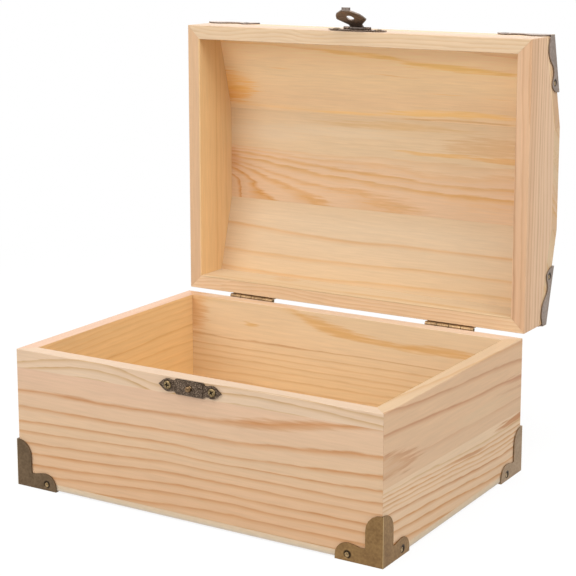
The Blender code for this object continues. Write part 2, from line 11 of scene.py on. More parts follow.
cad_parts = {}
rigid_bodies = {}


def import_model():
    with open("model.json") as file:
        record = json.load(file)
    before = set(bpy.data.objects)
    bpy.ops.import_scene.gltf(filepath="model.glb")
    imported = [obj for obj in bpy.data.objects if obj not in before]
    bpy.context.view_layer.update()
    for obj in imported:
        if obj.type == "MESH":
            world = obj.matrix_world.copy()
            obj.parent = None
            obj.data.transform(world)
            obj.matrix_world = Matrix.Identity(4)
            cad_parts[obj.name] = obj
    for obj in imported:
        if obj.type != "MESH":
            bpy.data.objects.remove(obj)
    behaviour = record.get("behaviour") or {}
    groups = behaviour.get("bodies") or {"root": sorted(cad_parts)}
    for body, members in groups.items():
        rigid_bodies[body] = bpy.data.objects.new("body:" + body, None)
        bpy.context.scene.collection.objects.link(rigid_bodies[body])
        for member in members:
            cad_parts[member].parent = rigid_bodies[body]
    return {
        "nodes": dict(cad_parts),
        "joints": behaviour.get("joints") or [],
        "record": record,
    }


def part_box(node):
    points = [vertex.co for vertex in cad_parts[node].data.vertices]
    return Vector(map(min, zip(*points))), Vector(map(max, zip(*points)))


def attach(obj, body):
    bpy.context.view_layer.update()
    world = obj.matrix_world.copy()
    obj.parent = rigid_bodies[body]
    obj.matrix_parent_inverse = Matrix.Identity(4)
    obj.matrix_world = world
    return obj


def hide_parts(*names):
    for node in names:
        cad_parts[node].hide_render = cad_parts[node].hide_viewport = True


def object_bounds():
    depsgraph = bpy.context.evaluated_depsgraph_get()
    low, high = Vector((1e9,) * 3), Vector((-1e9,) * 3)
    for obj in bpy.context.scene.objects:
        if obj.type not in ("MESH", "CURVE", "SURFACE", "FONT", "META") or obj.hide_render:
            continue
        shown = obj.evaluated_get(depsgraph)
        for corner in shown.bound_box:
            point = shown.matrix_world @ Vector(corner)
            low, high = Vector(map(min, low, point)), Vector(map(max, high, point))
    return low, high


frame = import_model()
CAD_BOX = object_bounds()
SLOTS = {row["node"]: row["material_slot"] for row in frame["record"]["subparts"]}
BODIES = {node: piece.parent.name.split(":")[1] for node, piece in frame["nodes"].items()}

bl_info = {
    "name": "Pine Treasure Chest",
    "version": (1, 0, 0),
    "blender": (4, 5, 0),
    "location": "View3D > Sidebar > Chest",
    "description": "Boards, metalwork and stage for a small hinged pine chest",
    "category": "Object",
}

MM = 0.001
X, Y, Z = Vector((1, 0, 0)), Vector((0, 1, 0)), Vector((0, 0, 1))

# The base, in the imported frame
PANEL_LOW, PANEL_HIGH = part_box("bottom_panel")
BASE_MIDDLE = Vector(((PANEL_LOW.x + PANEL_HIGH.x) / 2, (PANEL_LOW.y + PANEL_HIGH.y) / 2, 0))
LEFT, RIGHT = PANEL_LOW.x, PANEL_HIGH.x
WIDTH = RIGHT - LEFT
DEPTH = PANEL_HIGH.y - PANEL_LOW.y
BASE_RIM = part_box("base_left_wall")[1].z
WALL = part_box("base_front_wall")[1].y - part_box("base_front_wall")[0].y
IN_LEFT, IN_FRONT, IN_BACK = LEFT + WALL, PANEL_LOW.y + WALL, PANEL_HIGH.y - WALL

# The lid as it stands open, with its height along Y
AXIS = Vector(next(joint for joint in frame["joints"] if joint["name"] == "lid_hinge")["pos_m"])
OPEN_LID = Matrix.Translation(AXIS) @ Matrix.Rotation(-pi / 2, 4, "X") @ Matrix.Translation(-AXIS)
RIM_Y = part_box("lid_front_wall")[0].y
CEILING_Y, CROWN_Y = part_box("lid_top_plank")[0].y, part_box("lid_top_plank")[1].y
PLANK = CROWN_Y - CEILING_Y
LID_LOW, LID_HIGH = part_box("lid_back_wall")[0].z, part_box("lid_front_wall")[1].z
LID_MIDDLE = Vector((BASE_MIDDLE.x, RIM_Y, (LID_LOW + LID_HIGH) / 2))
MIDDLES = {"base": BASE_MIDDLE, "lid": LID_MIDDLE}

# The lid shut, with its height along Z. Its front is LID_EDGE high, and its flat top is LID_FLAT deep.
LID_RIM, LID_TOP = AXIS.z + RIM_Y - AXIS.y, AXIS.z + CROWN_Y - AXIS.y
LID_EDGE, LID_FLAT = 0.0257, 0.0526

# The sloping planks' inner faces: where they meet the walls and the top plank, and the ways they run
RISE, RUN = LID_TOP - LID_RIM - LID_EDGE, (DEPTH - LID_FLAT) / 2
SLOPE = hypot(RISE, RUN)
EAVE_Y = RIM_Y + LID_EDGE + (WALL * RISE - PLANK * SLOPE) / RUN
RIDGE_Z = LID_MIDDLE.z - LID_FLAT / 2 + PLANK * (SLOPE - RUN) / RISE
UP_SLOPE, DOWN_SLOPE = Vector((0, RISE, -RUN)) / SLOPE, Vector((0, RISE, RUN)) / SLOPE

# Wood. A board's "face" is a corner of it and the ways along it, across it and into the wood. Its grain is a
# field of levels in millimetres, drawn from these, with all lengths in millimetres:
# - guides: at one height on the face, how far the grain has climbed at points along it (with "sinks", sunk)
# - tones: the wood's colour at a level
# - lines: latewood, by its level, its strength, how far it fades in and out, and its colour
# - patches: stains, by place along, level, half length, half width, colour and strength
# - strip: the other strip of a glued board, above the seam (with "below", under it), with the seam's heights
#   at the board's start and at LONGEST
# - tilt: how far the level climbs for each millimetre into the wood
# - painted_light, outer_painted_light, rim_painted_light: painted light and shade, as factors that the colour
#   is multiplied by on the face, on the board's other sides, and on what looks up while the lid stands open
LATE, LATE_DEEP, LATE_OLIVE, LATE_AMBER = "C78A50", "BC7C46", "C69C66", "DBA157"

GRAIN = {
    "base_front_wall": {
        "painted_light": (0.955, 0.955, 1.0),
        "rim_painted_light": (0.83, 0.865, 0.96),
        "face": ((LEFT, PANEL_LOW.y, PANEL_LOW.z), X, Z, Y),
        "tones": ((0, "DDB48A"), (14, "DFB88F"), (30, "DFBD96"), (48, "E0BC98"), (60, "DFB998")),
        "guides": (
            (10, ((0, 0), (30, 1.2), (60, 3.1), (90, 5.3), (115, 6.7), (140, 6.7), (180, 7.8), (200, 8.2))),
            (26, ((0, 0), (30, 1.3), (60, 3.1), (90, 5.1), (115, 5.4), (140, 5.4), (180, 6.4), (200, 7.1))),
            (31, ((0, 0), (30, 1.2), (60, 2.3), (90, 3.8), (115, 3.7), (140, 4.2), (180, 5.6), (200, 6.5))),
            (38, ((0, 0), (30, 0.7), (60, 1.7), (90, 2.9), (115, 3.0), (140, 3.8), (180, 6.1), (200, 7.2))),
            (50, ((0, 0.3), (30, 1.4), (60, 1.5), (90, 2.9), (115, 3.8), (140, 5.7), (180, 9), (200, 10.4))),
            (58, ((0, 0.3), (30, 1.4), (60, 1.5), (90, 3), (115, 4.7), (140, 7.6), (180, 12), (200, 14.2))),
        ),
        "lines": (
            (-4.5, 0.8, 2, 0.7, LATE), (0.6, 0.88, 2.2, 0.7, LATE), (6.2, 0.88, 2.2, 0.7, LATE),
            (10.8, 0.92, 2, 0.7, LATE), (16.3, 0.92, 2, 0.6, LATE), (21.3, 0.9, 2, 0.6, LATE),
            (26.9, 0.9, 1.6, 0.6, LATE), (32.0, 0.84, 2, 0.8, LATE), (38.7, 0.9, 2.2, 0.8, LATE),
            (46.7, 0.85, 1.8, 1.8, LATE),
        ),
        "patches": ((150, 46.5, 46, 2.4, LATE, 0.45), (36, 47, 14, 1.4, LATE_DEEP, 0.3)),
        "strip": {
            "seam": (58.4, 60.2),
            "tones": ((55, "E2C5A3"), (70, "E3C3A0")),
            "guides": (
                (62, ((0, -2.5), (20, 1.5), (45, 4), (62, 2.8), (85, -1), (110, 3), (200, 2))),
            ),
            "lines": (
                (52.5, 0.6, 1.5, 0.6, LATE_OLIVE), (55.5, 0.6, 1.5, 0.6, LATE_OLIVE),
                (59.9, 0.9, 1.8, 0.7, LATE_OLIVE), (63.4, 0.78, 1.6, 0.8, LATE_OLIVE),
            ),
        },
        "tilt": 0.8,
    },
    "base_right_wall": {
        "painted_light": (0.98, 1.0, 1.03),
        "rim_painted_light": (0.865, 0.95, 1.0),
        "face": ((RIGHT, PANEL_LOW.y, PANEL_LOW.z), Y, Z, -X),
        "tones": ((0, "D9B48D"), (40, "D8B490"), (64, "DCB690"), (80, "DDB690")),
        "guides": (
            (35, ((0, 0), (40, -3), (90, -5), (145, -6))),
            (56, ((0, 0), (50, -3.4), (75, -6), (100, -7.6), (125, -9.4), (145, -11.4))),
            (66, ((0, 0), (35, -4), (75, -7), (110, -8.4), (145, -9.4))),
        ),
        "lines": (
            (44.5, 0.5, 2.4, 0.6, "C48F6C"), (58.4, 0.92, 2.6, 0.9, "BE8660"),
            (68.2, 0.85, 2.6, 0.9, "C08A64"),
            (76, 0.5, 2.4, 0.8, LATE),
        ),
        "patches": (
            (0, 43.6, 38, 6.6, "BC8256", 0.85), (-2, 43.4, 31, 4.8, "D9B590", 0.85),
            (140, 58, 26, 2.6, "C08A6A", 0.5),
            (100, 47, 40, 5, "DDBD97", 0.5), (145, 52, 30, 1.2, "C99B78", 0.5),
        ),
        "strip": {
            "seam": (33.8, 29.2),
            "below": True,
            "tones": ((-10, "DFBA94"), (8, "DFBA94"), (22, "E1C09C"), (36, "E1C29F")),
            "guides": (
                (5, ((0, 0), (50, -3.2), (75, -5.2), (100, -6.8), (145, -8.2))),
                (20, ((0, 0), (50, -2.6), (75, -4.4), (100, -6.4), (145, -7.2))),
                (31, ((0, 0), (40, -1.2), (75, -3.2), (100, -4.0), (145, -4.8))),
            ),
            "lines": (
                (-1.5, 0.7, 1.5, 0.6, LATE), (3.4, 0.75, 2, 0.6, LATE), (7.6, 0.9, 2.2, 0.7, LATE),
                (12.9, 0.9, 2.0, 0.6, LATE), (17.0, 0.9, 1.5, 0.6, LATE), (21.4, 0.95, 1.7, 0.6, LATE_DEEP),
                (24.0, 0.7, 0.8, 0.5, LATE), (26.0, 0.9, 0.9, 0.5, LATE), (28.0, 0.9, 0.9, 0.5, LATE),
                (29.9, 0.8, 0.8, 0.5, LATE), (31.8, 0.7, 0.8, 0.5, LATE_OLIVE),
            ),
            "patches": ((138, 33.5, 28, 1.9, "BF8252", 0.85), (84, 29.2, 26, 0.9, LATE_DEEP, 0.6)),
        },
        "tilt": 0.8,
    },
    "base_back_wall": {
        "painted_light": (0.955, 1.125, 1.31),
        "outer_painted_light": (0.96, 1.04, 1.26),
        "rim_painted_light": (0.845, 0.957, 1.25),
        "face": ((IN_LEFT, IN_BACK, PANEL_LOW.z), X, Z, Y),
        "tones": ((0, "E3B27C"), (30, "E5B886"), (50, "E8BE90"), (70, "E7BF92")),
        "guides": (
            (20, ((0, 0), (60, 0.8), (120, 1.4), (190, 2.5))),
            (46, ((0, 0), (60, 0.2), (120, 0.7), (190, 0.4))),
            (60, (
                (0, 4), (50, 8), (62, 6), (75, 0.6), (90, -3.2), (107, -5.8), (133, -9.2), (147, -7.8),
                (190, -10.5),
            )),
        ),
        "lines": (
            (3, 0.5, 2, 0.8, LATE), (9, 0.55, 2, 0.8, LATE), (15, 0.55, 1.6, 0.8, LATE),
            (21.5, 0.5, 1.6, 0.8, LATE),
            (26.6, 0.5, 1.3, 0.7, LATE), (30.8, 0.4, 1.0, 0.6, LATE), (34.2, 0.5, 1.2, 0.7, LATE),
            (37.9, 0.45, 1.1, 0.7, LATE), (41.4, 0.55, 1.1, 0.6, LATE), (46.3, 0.8, 1.0, 0.5, LATE_DEEP),
            (61.6, 0.5, 4.2, 3.6, "E1A866"),
        ),
        "patches": (
            (-1, 58, 13, 16, "DB9A5C", 0.7), (38, 50, 6, 0.7, LATE_AMBER, 0.7),
            (98, 61.6, 42, 4.8, "DFA35E", 0.75),
            (150, 61.8, 34, 5.2, "DFA35E", 0.7),
        ),
        "tilt": 0.6,
    },
    "base_left_wall": {
        "painted_light": (1.05, 1.26, 1.6),
        "outer_painted_light": (0.98, 1.15, 1.8),
        "rim_painted_light": (0.9, 1.06, 1.9),
        "face": ((IN_LEFT, IN_FRONT, PANEL_LOW.z), Y, Z, -X),
        "tones": ((0, "DDA766"), (40, "DFAA6B"), (70, "E0AE72")),
        "guides": ((40, ((0, 0), (60, 1.5), (100, 2.5), (140, 2))),),
        "lines": (
            (5, 0.5, 2, 0.8, LATE_AMBER), (12, 0.5, 2, 0.8, LATE_AMBER), (20, 0.5, 1.6, 0.8, LATE_AMBER),
            (29, 0.5, 1.5, 0.8, "CF9252"), (34.2, 0.35, 1.2, 0.7, "CF9252"), (39.4, 0.55, 1.4, 0.7, "CA8A48"),
            (43.2, 0.35, 1.0, 0.6, "CF9252"), (47.8, 0.6, 1.4, 0.7, "CA8A48"),
            (53.5, 0.4, 1.5, 0.6, "CF9658"), (57.2, 0.5, 1.5, 0.6, "CF9658"), (60.4, 0.5, 1.3, 0.6, "CF9658"),
            (63.2, 0.5, 1.3, 0.6, "CF9658"), (65.8, 0.4, 1.3, 0.6, "CF9658"),
        ),
        "tilt": 0.6,
    },
    "lid_front_plank": {
        "painted_light": (1.31, 1.48, 1.6),
        "outer_painted_light": (0.96, 0.99, 1.07),
        "face": ((IN_LEFT, EAVE_Y, LID_HIGH - WALL), X, UP_SLOPE, Y),
        # Its tones are lighter near the eave, as painted light against the shade there, and darker towards
        # the ridge, as painted shade
        "tones": ((-8, "E7C196"), (6, "E6BE91"), (22, "DCB68B"), (41, "D5AD84"), (60, "D8B28A")),
        "guides": (
            (15, ((0, 0), (55, 1.5), (80, 3.6), (100, 4.4), (114, 7.4), (140, 10), (175, 13.6), (185, 14))),
            (37, ((0, 0), (90, 0.5), (120, -1), (185, -1.5))),
        ),
        "lines": (
            (-8, 0.4, 3, 0.8, LATE), (3.6, 0.55, 2.6, 1.4, "D6A35E"), (48.2, 0.35, 3, 1.8, "DDAA68"),
            (56, 0.4, 2, 0.8, LATE),
        ),
        "patches": (
            (84, 3.6, 30, 2.4, "E0B067", 0.65), (142, 4.4, 46, 3.6, "E0B067", 0.8),
            (134, 47.2, 44, 3.0, "DFAC66", 0.7), (76, 48.8, 26, 1.2, "DFAC66", 0.5),
            (120, 51.4, 74, 0.8, "C4925C", 0.6), (-3, 35, 26, 15, "DFA55E", 0.85),
            (-2, 41.5, 18, 7, "D28E44", 0.7), (9, 36.6, 12, 2.2, "D89C50", 0.55),
            (134, 31.2, 16, 0.6, LATE_AMBER, 0.4), (162, 32.8, 13, 0.6, LATE_AMBER, 0.4),
            (36, 19.9, 9, 0.6, LATE_AMBER, 0.5), (104, 17.5, 20, 0.6, LATE_AMBER, 0.4),
        ),
        "tilt": 0.9,
    },
    "lid_top_plank": {
        "painted_light": (1.02, 1.03, 1.07),
        "outer_painted_light": (0.96, 0.97, 1.02),
        "face": ((IN_LEFT, CEILING_Y, RIDGE_Z), X, Z, Y),
        "tones": (
            (-6, "E1BC94"), (14, "E2BF98"), (27, "E4C19B"), (30, "E3C69E"), (40, "E4C8A0"), (56, "E2C196"),
        ),
        "guides": (
            (0, ((0, 4), (6.5, 13), (27, 17), (58, 19.9), (97, 21.7), (185, 23.6))),
            (10, ((0, 0), (15, 7), (40, 9.9), (75, 11.6), (120, 12.8), (185, 13.6))),
            (20, ((0, 0), (12, 1.6), (45, 4.3), (90, 6.3), (185, 7.2))),
            (29, ((0, 0), (25, 0.5), (60, 0.9), (110, 0.5), (185, 1))),
        ),
        "sinks": True,
        "lines": (
            (13.0, 0.95, 1.5, 0.6, "CE8E42"), (17.0, 0.95, 1.6, 0.6, "D19444"),
            (19.9, 0.85, 1.2, 0.4, "D39848"),
            (21.7, 0.65, 0.9, 0.4, "D39848"), (24.3, 0.85, 1.4, 0.5, "D59E50"),
            (26.4, 0.8, 1.1, 0.5, "D59E50"),
            (28.0, 0.5, 0.8, 0.4, "D79E54"), (29.3, 0.35, 0.6, 0.3, "D59A54"), (36, 0.15, 1, 0.4, LATE_OLIVE),
            (39, 0.2, 1, 0.4, LATE_OLIVE), (42, 0.15, 1, 0.4, LATE_OLIVE), (54, 0.5, 2, 0.8, LATE),
            (60, 0.5, 2, 0.8, LATE), (66, 0.5, 2, 0.8, LATE),
        ),
        "patches": (
            (-2, 22, 10, 9, "D2925A", 0.45), (166, 39, 40, 8, "DCB07B", 0.6),
            (128, 33.4, 30, 1.6, "E8B872", 0.8),
            (165, 33.6, 26, 2.0, "E6B472", 0.7), (20, 38, 40, 6, "E8CFAC", 0.6),
            (70, 42, 46, 4, "EBD3B0", 0.5),
            (100, 47, 60, 2.5, "E0B678", 0.5),
        ),
        "tilt": 0.9,
    },
    "lid_back_plank": {
        "painted_light": (0.906, 0.946, 0.998),
        "outer_painted_light": (0.95, 0.96, 0.96),
        "face": ((IN_LEFT, EAVE_Y, LID_LOW + WALL), X, DOWN_SLOPE, Y),
        "tones": ((-8, "E4BE92"), (6, "E6C398"), (22, "E7C79F"), (41, "E6C8A2"), (60, "E3C096")),
        "guides": (
            (3, ((0, 0), (50, -1), (90, 0.2), (185, 1.6))),
            (15, ((0, 0), (90, -0.4), (120, 0.6), (185, 1.1))),
            (30, ((0, 0.6), (15, 0), (50, -1.8), (80, -2.7), (115, -1.8), (140, -2), (185, -2))),
        ),
        "lines": (
            (-8, 0.5, 2.5, 0.8, LATE), (-2.5, 0.5, 2.5, 0.8, LATE), (3.4, 0.45, 3.0, 1.8, "DC9E54"),
            (15.2, 0.5, 3.2, 2.0, "DC9E54"), (32.2, 0.55, 3.4, 2.2, "D99A52"), (56, 0.5, 2, 0.8, LATE),
        ),
        "tilt": 0.9,
    },
    "lid_left_end": {
        "painted_light": (1.1, 1.355, 1.68),
        "outer_painted_light": (0.95, 1.11, 1.59),
        "face": ((IN_LEFT, RIM_Y, LID_LOW + WALL), Z, Y, -X),
        "tones": ((-8, "DDA870"), (4, "DEAB72"), (16, "DCA76E"), (32, "DCAA74"), (50, "E0B080")),
        "guides": ((10, ((0, 0), (60, 0.6), (135, -0.4))),),
        "lines": (
            (-5.2, 0.6, 1.1, 0.4, "C68F68"), (-3.3, 0.6, 1.0, 0.4, "C68F68"), (-1.6, 0.6, 1.0, 0.4, "C68F68"),
            (0.4, 0.25, 1.0, 0.4, "CF9A60"), (4, 0.15, 1.5, 0.6, LATE), (9.5, 0.12, 2, 0.8, LATE),
            (15.8, 0.5, 1.6, 0.5, "C68D52"), (20, 0.2, 1.5, 0.5, LATE), (25, 0.35, 2, 0.6, "C9904F"),
        ),
        "tilt": 1.0,
    },
    "lid_right_end": {
        "painted_light": (0.955, 0.93, 0.915),
        "face": ((RIGHT, RIM_Y, LID_LOW), Z, Y, -X),
        "tones": ((-8, "DFB891"), (4, "E1BB97"), (9, "E8C5A2"), (34, "E8C7A6"), (50, "E6C2A2")),
        "guides": (
            (6, ((0, 0), (50, 0.6), (100, 1.8), (145, 2.6))),
            (20, ((0, 0), (50, 0.4), (100, -1.2), (145, 0.8))),
        ),
        "lines": (
            (-5, 0.5, 1.4, 0.5, "C28E64"), (-1.5, 0.5, 1.4, 0.5, "C28E64"), (2.0, 0.5, 1.4, 0.5, "BC8860"),
            (6.1, 0.75, 1.6, 0.4, "B07C54"), (9.6, 0.55, 1.3, 0.5, "BC8860"),
            (13.6, 0.75, 1.7, 0.4, "B07C54"),
            (16.9, 0.5, 1.2, 0.4, "BC8860"), (20.2, 0.6, 1.4, 0.4, "B5825A"), (24.2, 0.5, 1.4, 0.5, "BC8860"),
            (28.4, 0.5, 1.4, 0.5, "BC8860"), (32.5, 0.4, 1.4, 0.5, "BC8860"),
        ),
        "tilt": 1.0,
    },
    "lid_front_wall": {
        "painted_light": (0.945, 0.955, 1.005),
        "rim_painted_light": (0.82, 0.815, 0.95),
        "face": ((LEFT, RIM_Y, LID_HIGH), X, Y, -Z),
        "tones": ((-8, "E4C399"), (2, "E7C9A2"), (10, "E9CDA8"), (30, "EACFAC")),
        "guides": ((0, ((0, -1), (20, 1.2), (45, -0.6), (60, -1.4), (75, 0.6), (100, 0), (200, 0.4))),),
        "lines": (
            (-0.6, 0.35, 1.2, 0.4, "CFA26C"), (1.2, 0.4, 1.0, 0.4, "CFA26C"), (3.0, 0.45, 1.1, 0.4, "CFA26C"),
            (4.9, 0.4, 1.2, 0.4, "CFA26C"), (6.4, 0.35, 1.0, 0.4, "CFA26C"), (12, 0.3, 2, 0.8, LATE),
        ),
        "tilt": 0.9,
    },
    "lid_back_wall": {
        "painted_light": (0.824, 0.92, 1.02),
        "outer_painted_light": (1.03, 1.14, 1.34),
        "face": ((IN_LEFT, RIM_Y, LID_LOW + WALL), X, Y, -Z),
        "tones": ((-8, "E3BA8A"), (2, "E5BE90"), (12, "E6C298"), (30, "E6C49C")),
        "guides": ((0, ((0, -1), (30, 0.8), (50, 1.6), (75, 0.2), (110, 0), (185, 0.2))),),
        "lines": (
            (-5.4, 0.45, 1.1, 0.4, "CB9460"), (-3.7, 0.5, 1.0, 0.4, "CB9460"),
            (-1.8, 0.5, 1.2, 0.4, "CB9460"),
            (-0.2, 0.4, 1.2, 0.4, "CB9460"), (4.5, 0.35, 2, 0.8, LATE), (13, 0.15, 2, 0.8, LATE),
        ),
        "patches": (
            (45, 14.5, 10, 5.5, "E0A464", 0.35), (45, 17.5, 5.5, 4, "E6C298", 0.4),
            (128, 5.6, 64, 1.8, "DDA564", 0.45),
        ),
        "tilt": -0.9,
    },
}

# Most of a noise lies between these two values
NOISE = (0.3, 0.7)

# Pine: the millimetres of a board that a grain curve runs over, and the levels that a ramp keeps free beyond
# its outermost line or tone
LONGEST = 200
SPARE_LEVELS = 4
# A latewood line has this share of its strength at this share of its fade in, and is gone at this share of
# its fade out
COMING_STRENGTH, COMING, GONE = 0.45, 0.4, 0.6
# Pine's noises, each by its length, width and depth in millimetres and its detail: the sway of all lines, the
# ripple of one line, fibres, streaks in a line's strength, clouds of tone, and pores. Real fibres are finer
# than the render can show, so they are drawn this coarse.
PINE_NOISES = (
    (60, 16, 16, 1), (12, 2.6, 2.6, 2), (16, 0.9524, 0.9524, 3), (90, 2.7778, 2.7778, 2), (70, 9, 9, 1),
    (2, 0.2, 0.2, 2),
)
# How far the sway, the ripple and the fibres move a line, in millimetres, and how much the fibres ruffle the
# edge of a stain
SWAY, RIPPLE, FRAY, RUFFLE = 2.6, 0.9, 1.1, 2.2
# A latewood line's weakest and strongest share of its own strength
LINE_FADE = (0.7, 1.1)
# How light the wood is at two values of a noise: the values, then the light
FIBRE_LIGHT = (0.25, 0.75, 0.94, 1.05)
CLOUD_LIGHT = (0.3, 0.7, 0.98, 1.02)
PORE_LIGHT = (0.66, 0.74, 1.0, 0.94)
# How far each letter's number shifts a board's place in the noises
NAME_STEP = 7.3
# Half the width of the blur at a glued seam, in millimetres
SEAM_BLUR = 0.15
# End grain: how squarely a side cuts the grain where the stain starts and is full, and its colour and share
END_TURN, END_GRAIN, END_SHARE = (0.8, 0.95), "B58A66", 0.16
# Within the first distance of the face, in millimetres, wood takes the face's painted light, and past the
# second the painted light of the other sides
FACE_SKIN = (0.4, 0.9)
# How squarely a side has to look up for the rims' painted light and shade
LOOKS_UP = 0.7
PINE_ROUGHNESS, PINE_SHINE = (0.62, 0.74), 0.3
PINE_BUMP = {"Strength": 0.25, "Distance": 0.1 * MM}

# Plywood: its plies' colours from the lower face to the upper, and its noises: the veneer's figure, its pores
# and the specks of the sawn edge
PLIES = ((0, "D3C4B2"), (0.3, "CDBBA4"), (0.34, "D6C2A6"), (0.66, "D6BFA0"), (0.7, "DAC3A6"), (1, "D9BE9C"))
PLYWOOD_NOISES = ((111.11, 16.667, 16.667, 2), (16.667, 1.1111, 1.1111, 3), (4.5455, 4.5455, 1.1111, 3))
# How often the figure turns back, how strong its rings are, and their colours
RINGS, RING_SHARE, VENEER_PALE, VENEER_DARK = 9, 1.2, "E6CFA8", "D9BB8E"
# The light at two values of the pores and of the specks, as for pine
VENEER_LIGHT, PLY_LIGHT = (0.35, 0.7, 1.03, 0.92), (0.3, 0.7, 0.94, 1.04)
# How squarely a side has to look up or down to be veneer
FLAT_SIDE, PLYWOOD_ROUGHNESS = 0.8, 0.7
PLYWOOD_BUMP = {"Strength": 0.15, "Distance": 0.1 * MM}

# Metal: each finish's rubbed and tarnished colour and its roughness. The two brackets on the base's right
# have lighter colours of their own than the others.
METALS = {
    "base_bracket": ("7C6750", "5C4B38", 0.42),
    "base_bracket_front_right": ("997A50", "785B3C", 0.42),
    "base_bracket_back_right": ("A88F73", "8A7256", 0.42),
    "lid_bracket": ("A5958A", "7C6E63", 0.42),
    "hinge_leaf": ("B6966F", "665038", 0.36),
    "hasp_flap": ("93867D", "544A44", 0.42),
    "catch_plate": ("978370", "3D3026", 0.42),
    "hasp_plate": ("A08B7B", "54453A", 0.42),
    "screw": ("A38C66", "5F4D33", 0.34),
    "nail": ("B59A72", "6B5639", 0.36),
    "peg": ("9C7E5C", "4E3C2A", 0.34),
    "pin": ("8A7A58", "4E4230", 0.4),
}
# Sheet's clouds, mottling and specks, each by its size in millimetres and its detail
SHEET_NOISES = ((8.333, 3), (1.1111, 3), (0.5263, 1))
# How much of the patina is mottling, where specks start and are full with their shares, and their colour
MOTTLE_SHARE, SPECKS, GRIME = 0.55, (0.7, 0.78, 0, 0.4), "2E251A"
# A worn fold: how far inside it the bare line is gone and is full, and its share and colour
WORN_LINE, WORN_SHARE, WORN = (-0.2 * MM, -0.1 * MM), 0.6, "E2C795"
# The dark flecks beside it: how far inside the fold they are gone and are full, and which mottling makes them
FLECK_REACH, FLECKS = (-1.1 * MM, -0.6 * MM), (0.6, 0.66, 0, 0.75)
# Painted shade round a nail, for the shadow in its dimple: how far it is off the nail's middle, how far it
# reaches, its shares and colour
PIT_SHIFT, PIT_REACH, PIT_SHARES, PIT_SHADE = 0.35 * MM, (1.6 * MM, 2.2 * MM), (0.95, 0), "2A2118"
SHEET_BUMP = {"Strength": 0.15, "Distance": 0.1 * MM}
# How much rougher the tarnish is than the rubbed metal
TARNISH_ROUGHNESS = 0.1

# Stamped ground: the sway of its curls and the clouds of their wear, by size in millimetres and detail
CURL_NOISES = ((1.4286, 2), (3.3333, 3))
# A curl's size, how far the sway moves it, how far its edge rises, and its weakest and strongest wear
CURL, CURL_SWAY, CURL_EDGE, CURL_WEAR = 0.8 * MM, 1.6 * MM, (0.03, 0.3), (0.55, 1)
CURL_BUMP = {"Strength": 0.5, "Distance": 0.2 * MM}

# Small fasteners: their clouds of tarnish and where these start and are full, and the painted shade in a
# recess, nearly black
BRASS_CLOUD, BRASS_DETAIL, BRASS_SPAN = 1.25 * MM, 3, (0.35, 0.65)
RECESS_CLOUD, RECESS_DETAIL, RECESS_SHADE_DARK, RECESS_SHADE_PALE = 0.6667 * MM, 2, "070504", "1A140E"
RECESS_SHINE, RECESS_ROUGHNESS = 0.2, 0.85

# Finishes of a turned solid, by their place in its mesh: plated metal, and the near-black painted shade of a
# recess
PLATED, SHADED = 0, 1
# A screw: the heights of its crown and cone, its shank as a share of its radius, and the share and depth of
# the rim under its crown
SCREW_CROWN, SCREW_CONE, SCREW_SHANK, SCREW_RIM = 0.5 * MM, 0.85 * MM, 0.4, (0.94, 0.15 * MM)
# Its cross recess: reach and half width as shares of the radius, depth as a share of the crown
CROSS_REACH, CROSS_HALF, CROSS_DEPTH = 0.62, 0.15, 1.8
# How wide the cross is above the crown and at its foot, as shares of its own width
CROSS_FLARE, CROSS_FOOT = 1.12, 0.55
# Each screw's cross is turned by its place in the list of nodes, in degrees: for each place, and at the start
SCREW_STEP, SCREW_START = 37, 12
# A nail: its crown's height, its shank as a share of its radius, and the dark rim under its head, which is
# painted shade, by its share of the radius and the depths of its edge and of its foot
NAIL_CROWN, NAIL_SHANK, NAIL_RIM = 0.16 * MM, 0.39, (0.9, 0.11 * MM, 0.33 * MM)
# The peg's outline: share of its radius, depth in millimetres and finish. Its neck takes the painted shade.
PEG_OUTLINE = (
    (0, 0, PLATED), (0.45, 0.04, PLATED), (0.78, 0.22, PLATED), (0.95, 0.5, PLATED), (1, 0.8, PLATED),
    (0.96, 1.15, PLATED), (0.82, 1.45, SHADED), (0.82, 1.6, PLATED), (1, 1.75, PLATED), (1, 1.9, PLATED),
    (0.68, 1.95, PLATED),
)
PEG_SIDES = 40

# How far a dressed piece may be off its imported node's box, and how close two points of a board are one
FIT, SAME_POINT = 0.8 * MM, 0.0001 * MM

# The lamps' turn from the front and height over the horizon, in degrees
LAMPS = {"left": (-25, 32), "right": (78, 38), "top": (30, 74), "rear": (215, 35)}
# The floor: half its side, its drop under the chest, its colour to the light and to the camera, its
# roughness, and two distances from its middle with the share of plain white that the camera sees there
FLOOR_HALF, FLOOR_DROP, FLOOR_LIT, FLOOR_SEEN, FLOOR_ROUGHNESS = 0.7, 0.05 * MM, "C0C0C0", "FFFFFF", 0.9
FLOOR_GLOW = (0.15, 0.6, 0.88, 1)
WHITE = (1, 1, 1, 1)
# The nearest that the camera sees
CLIP_START = 0.05


def linear(code):
    """The linear RGBA of an sRGB hex colour."""
    parts = [int(code[place : place + 2], 16) / 255 for place in (0, 2, 4)]
    return (*[c / 12.92 if c <= 0.04045 else ((c + 0.055) / 1.055) ** 2.4 for c in parts], 1)


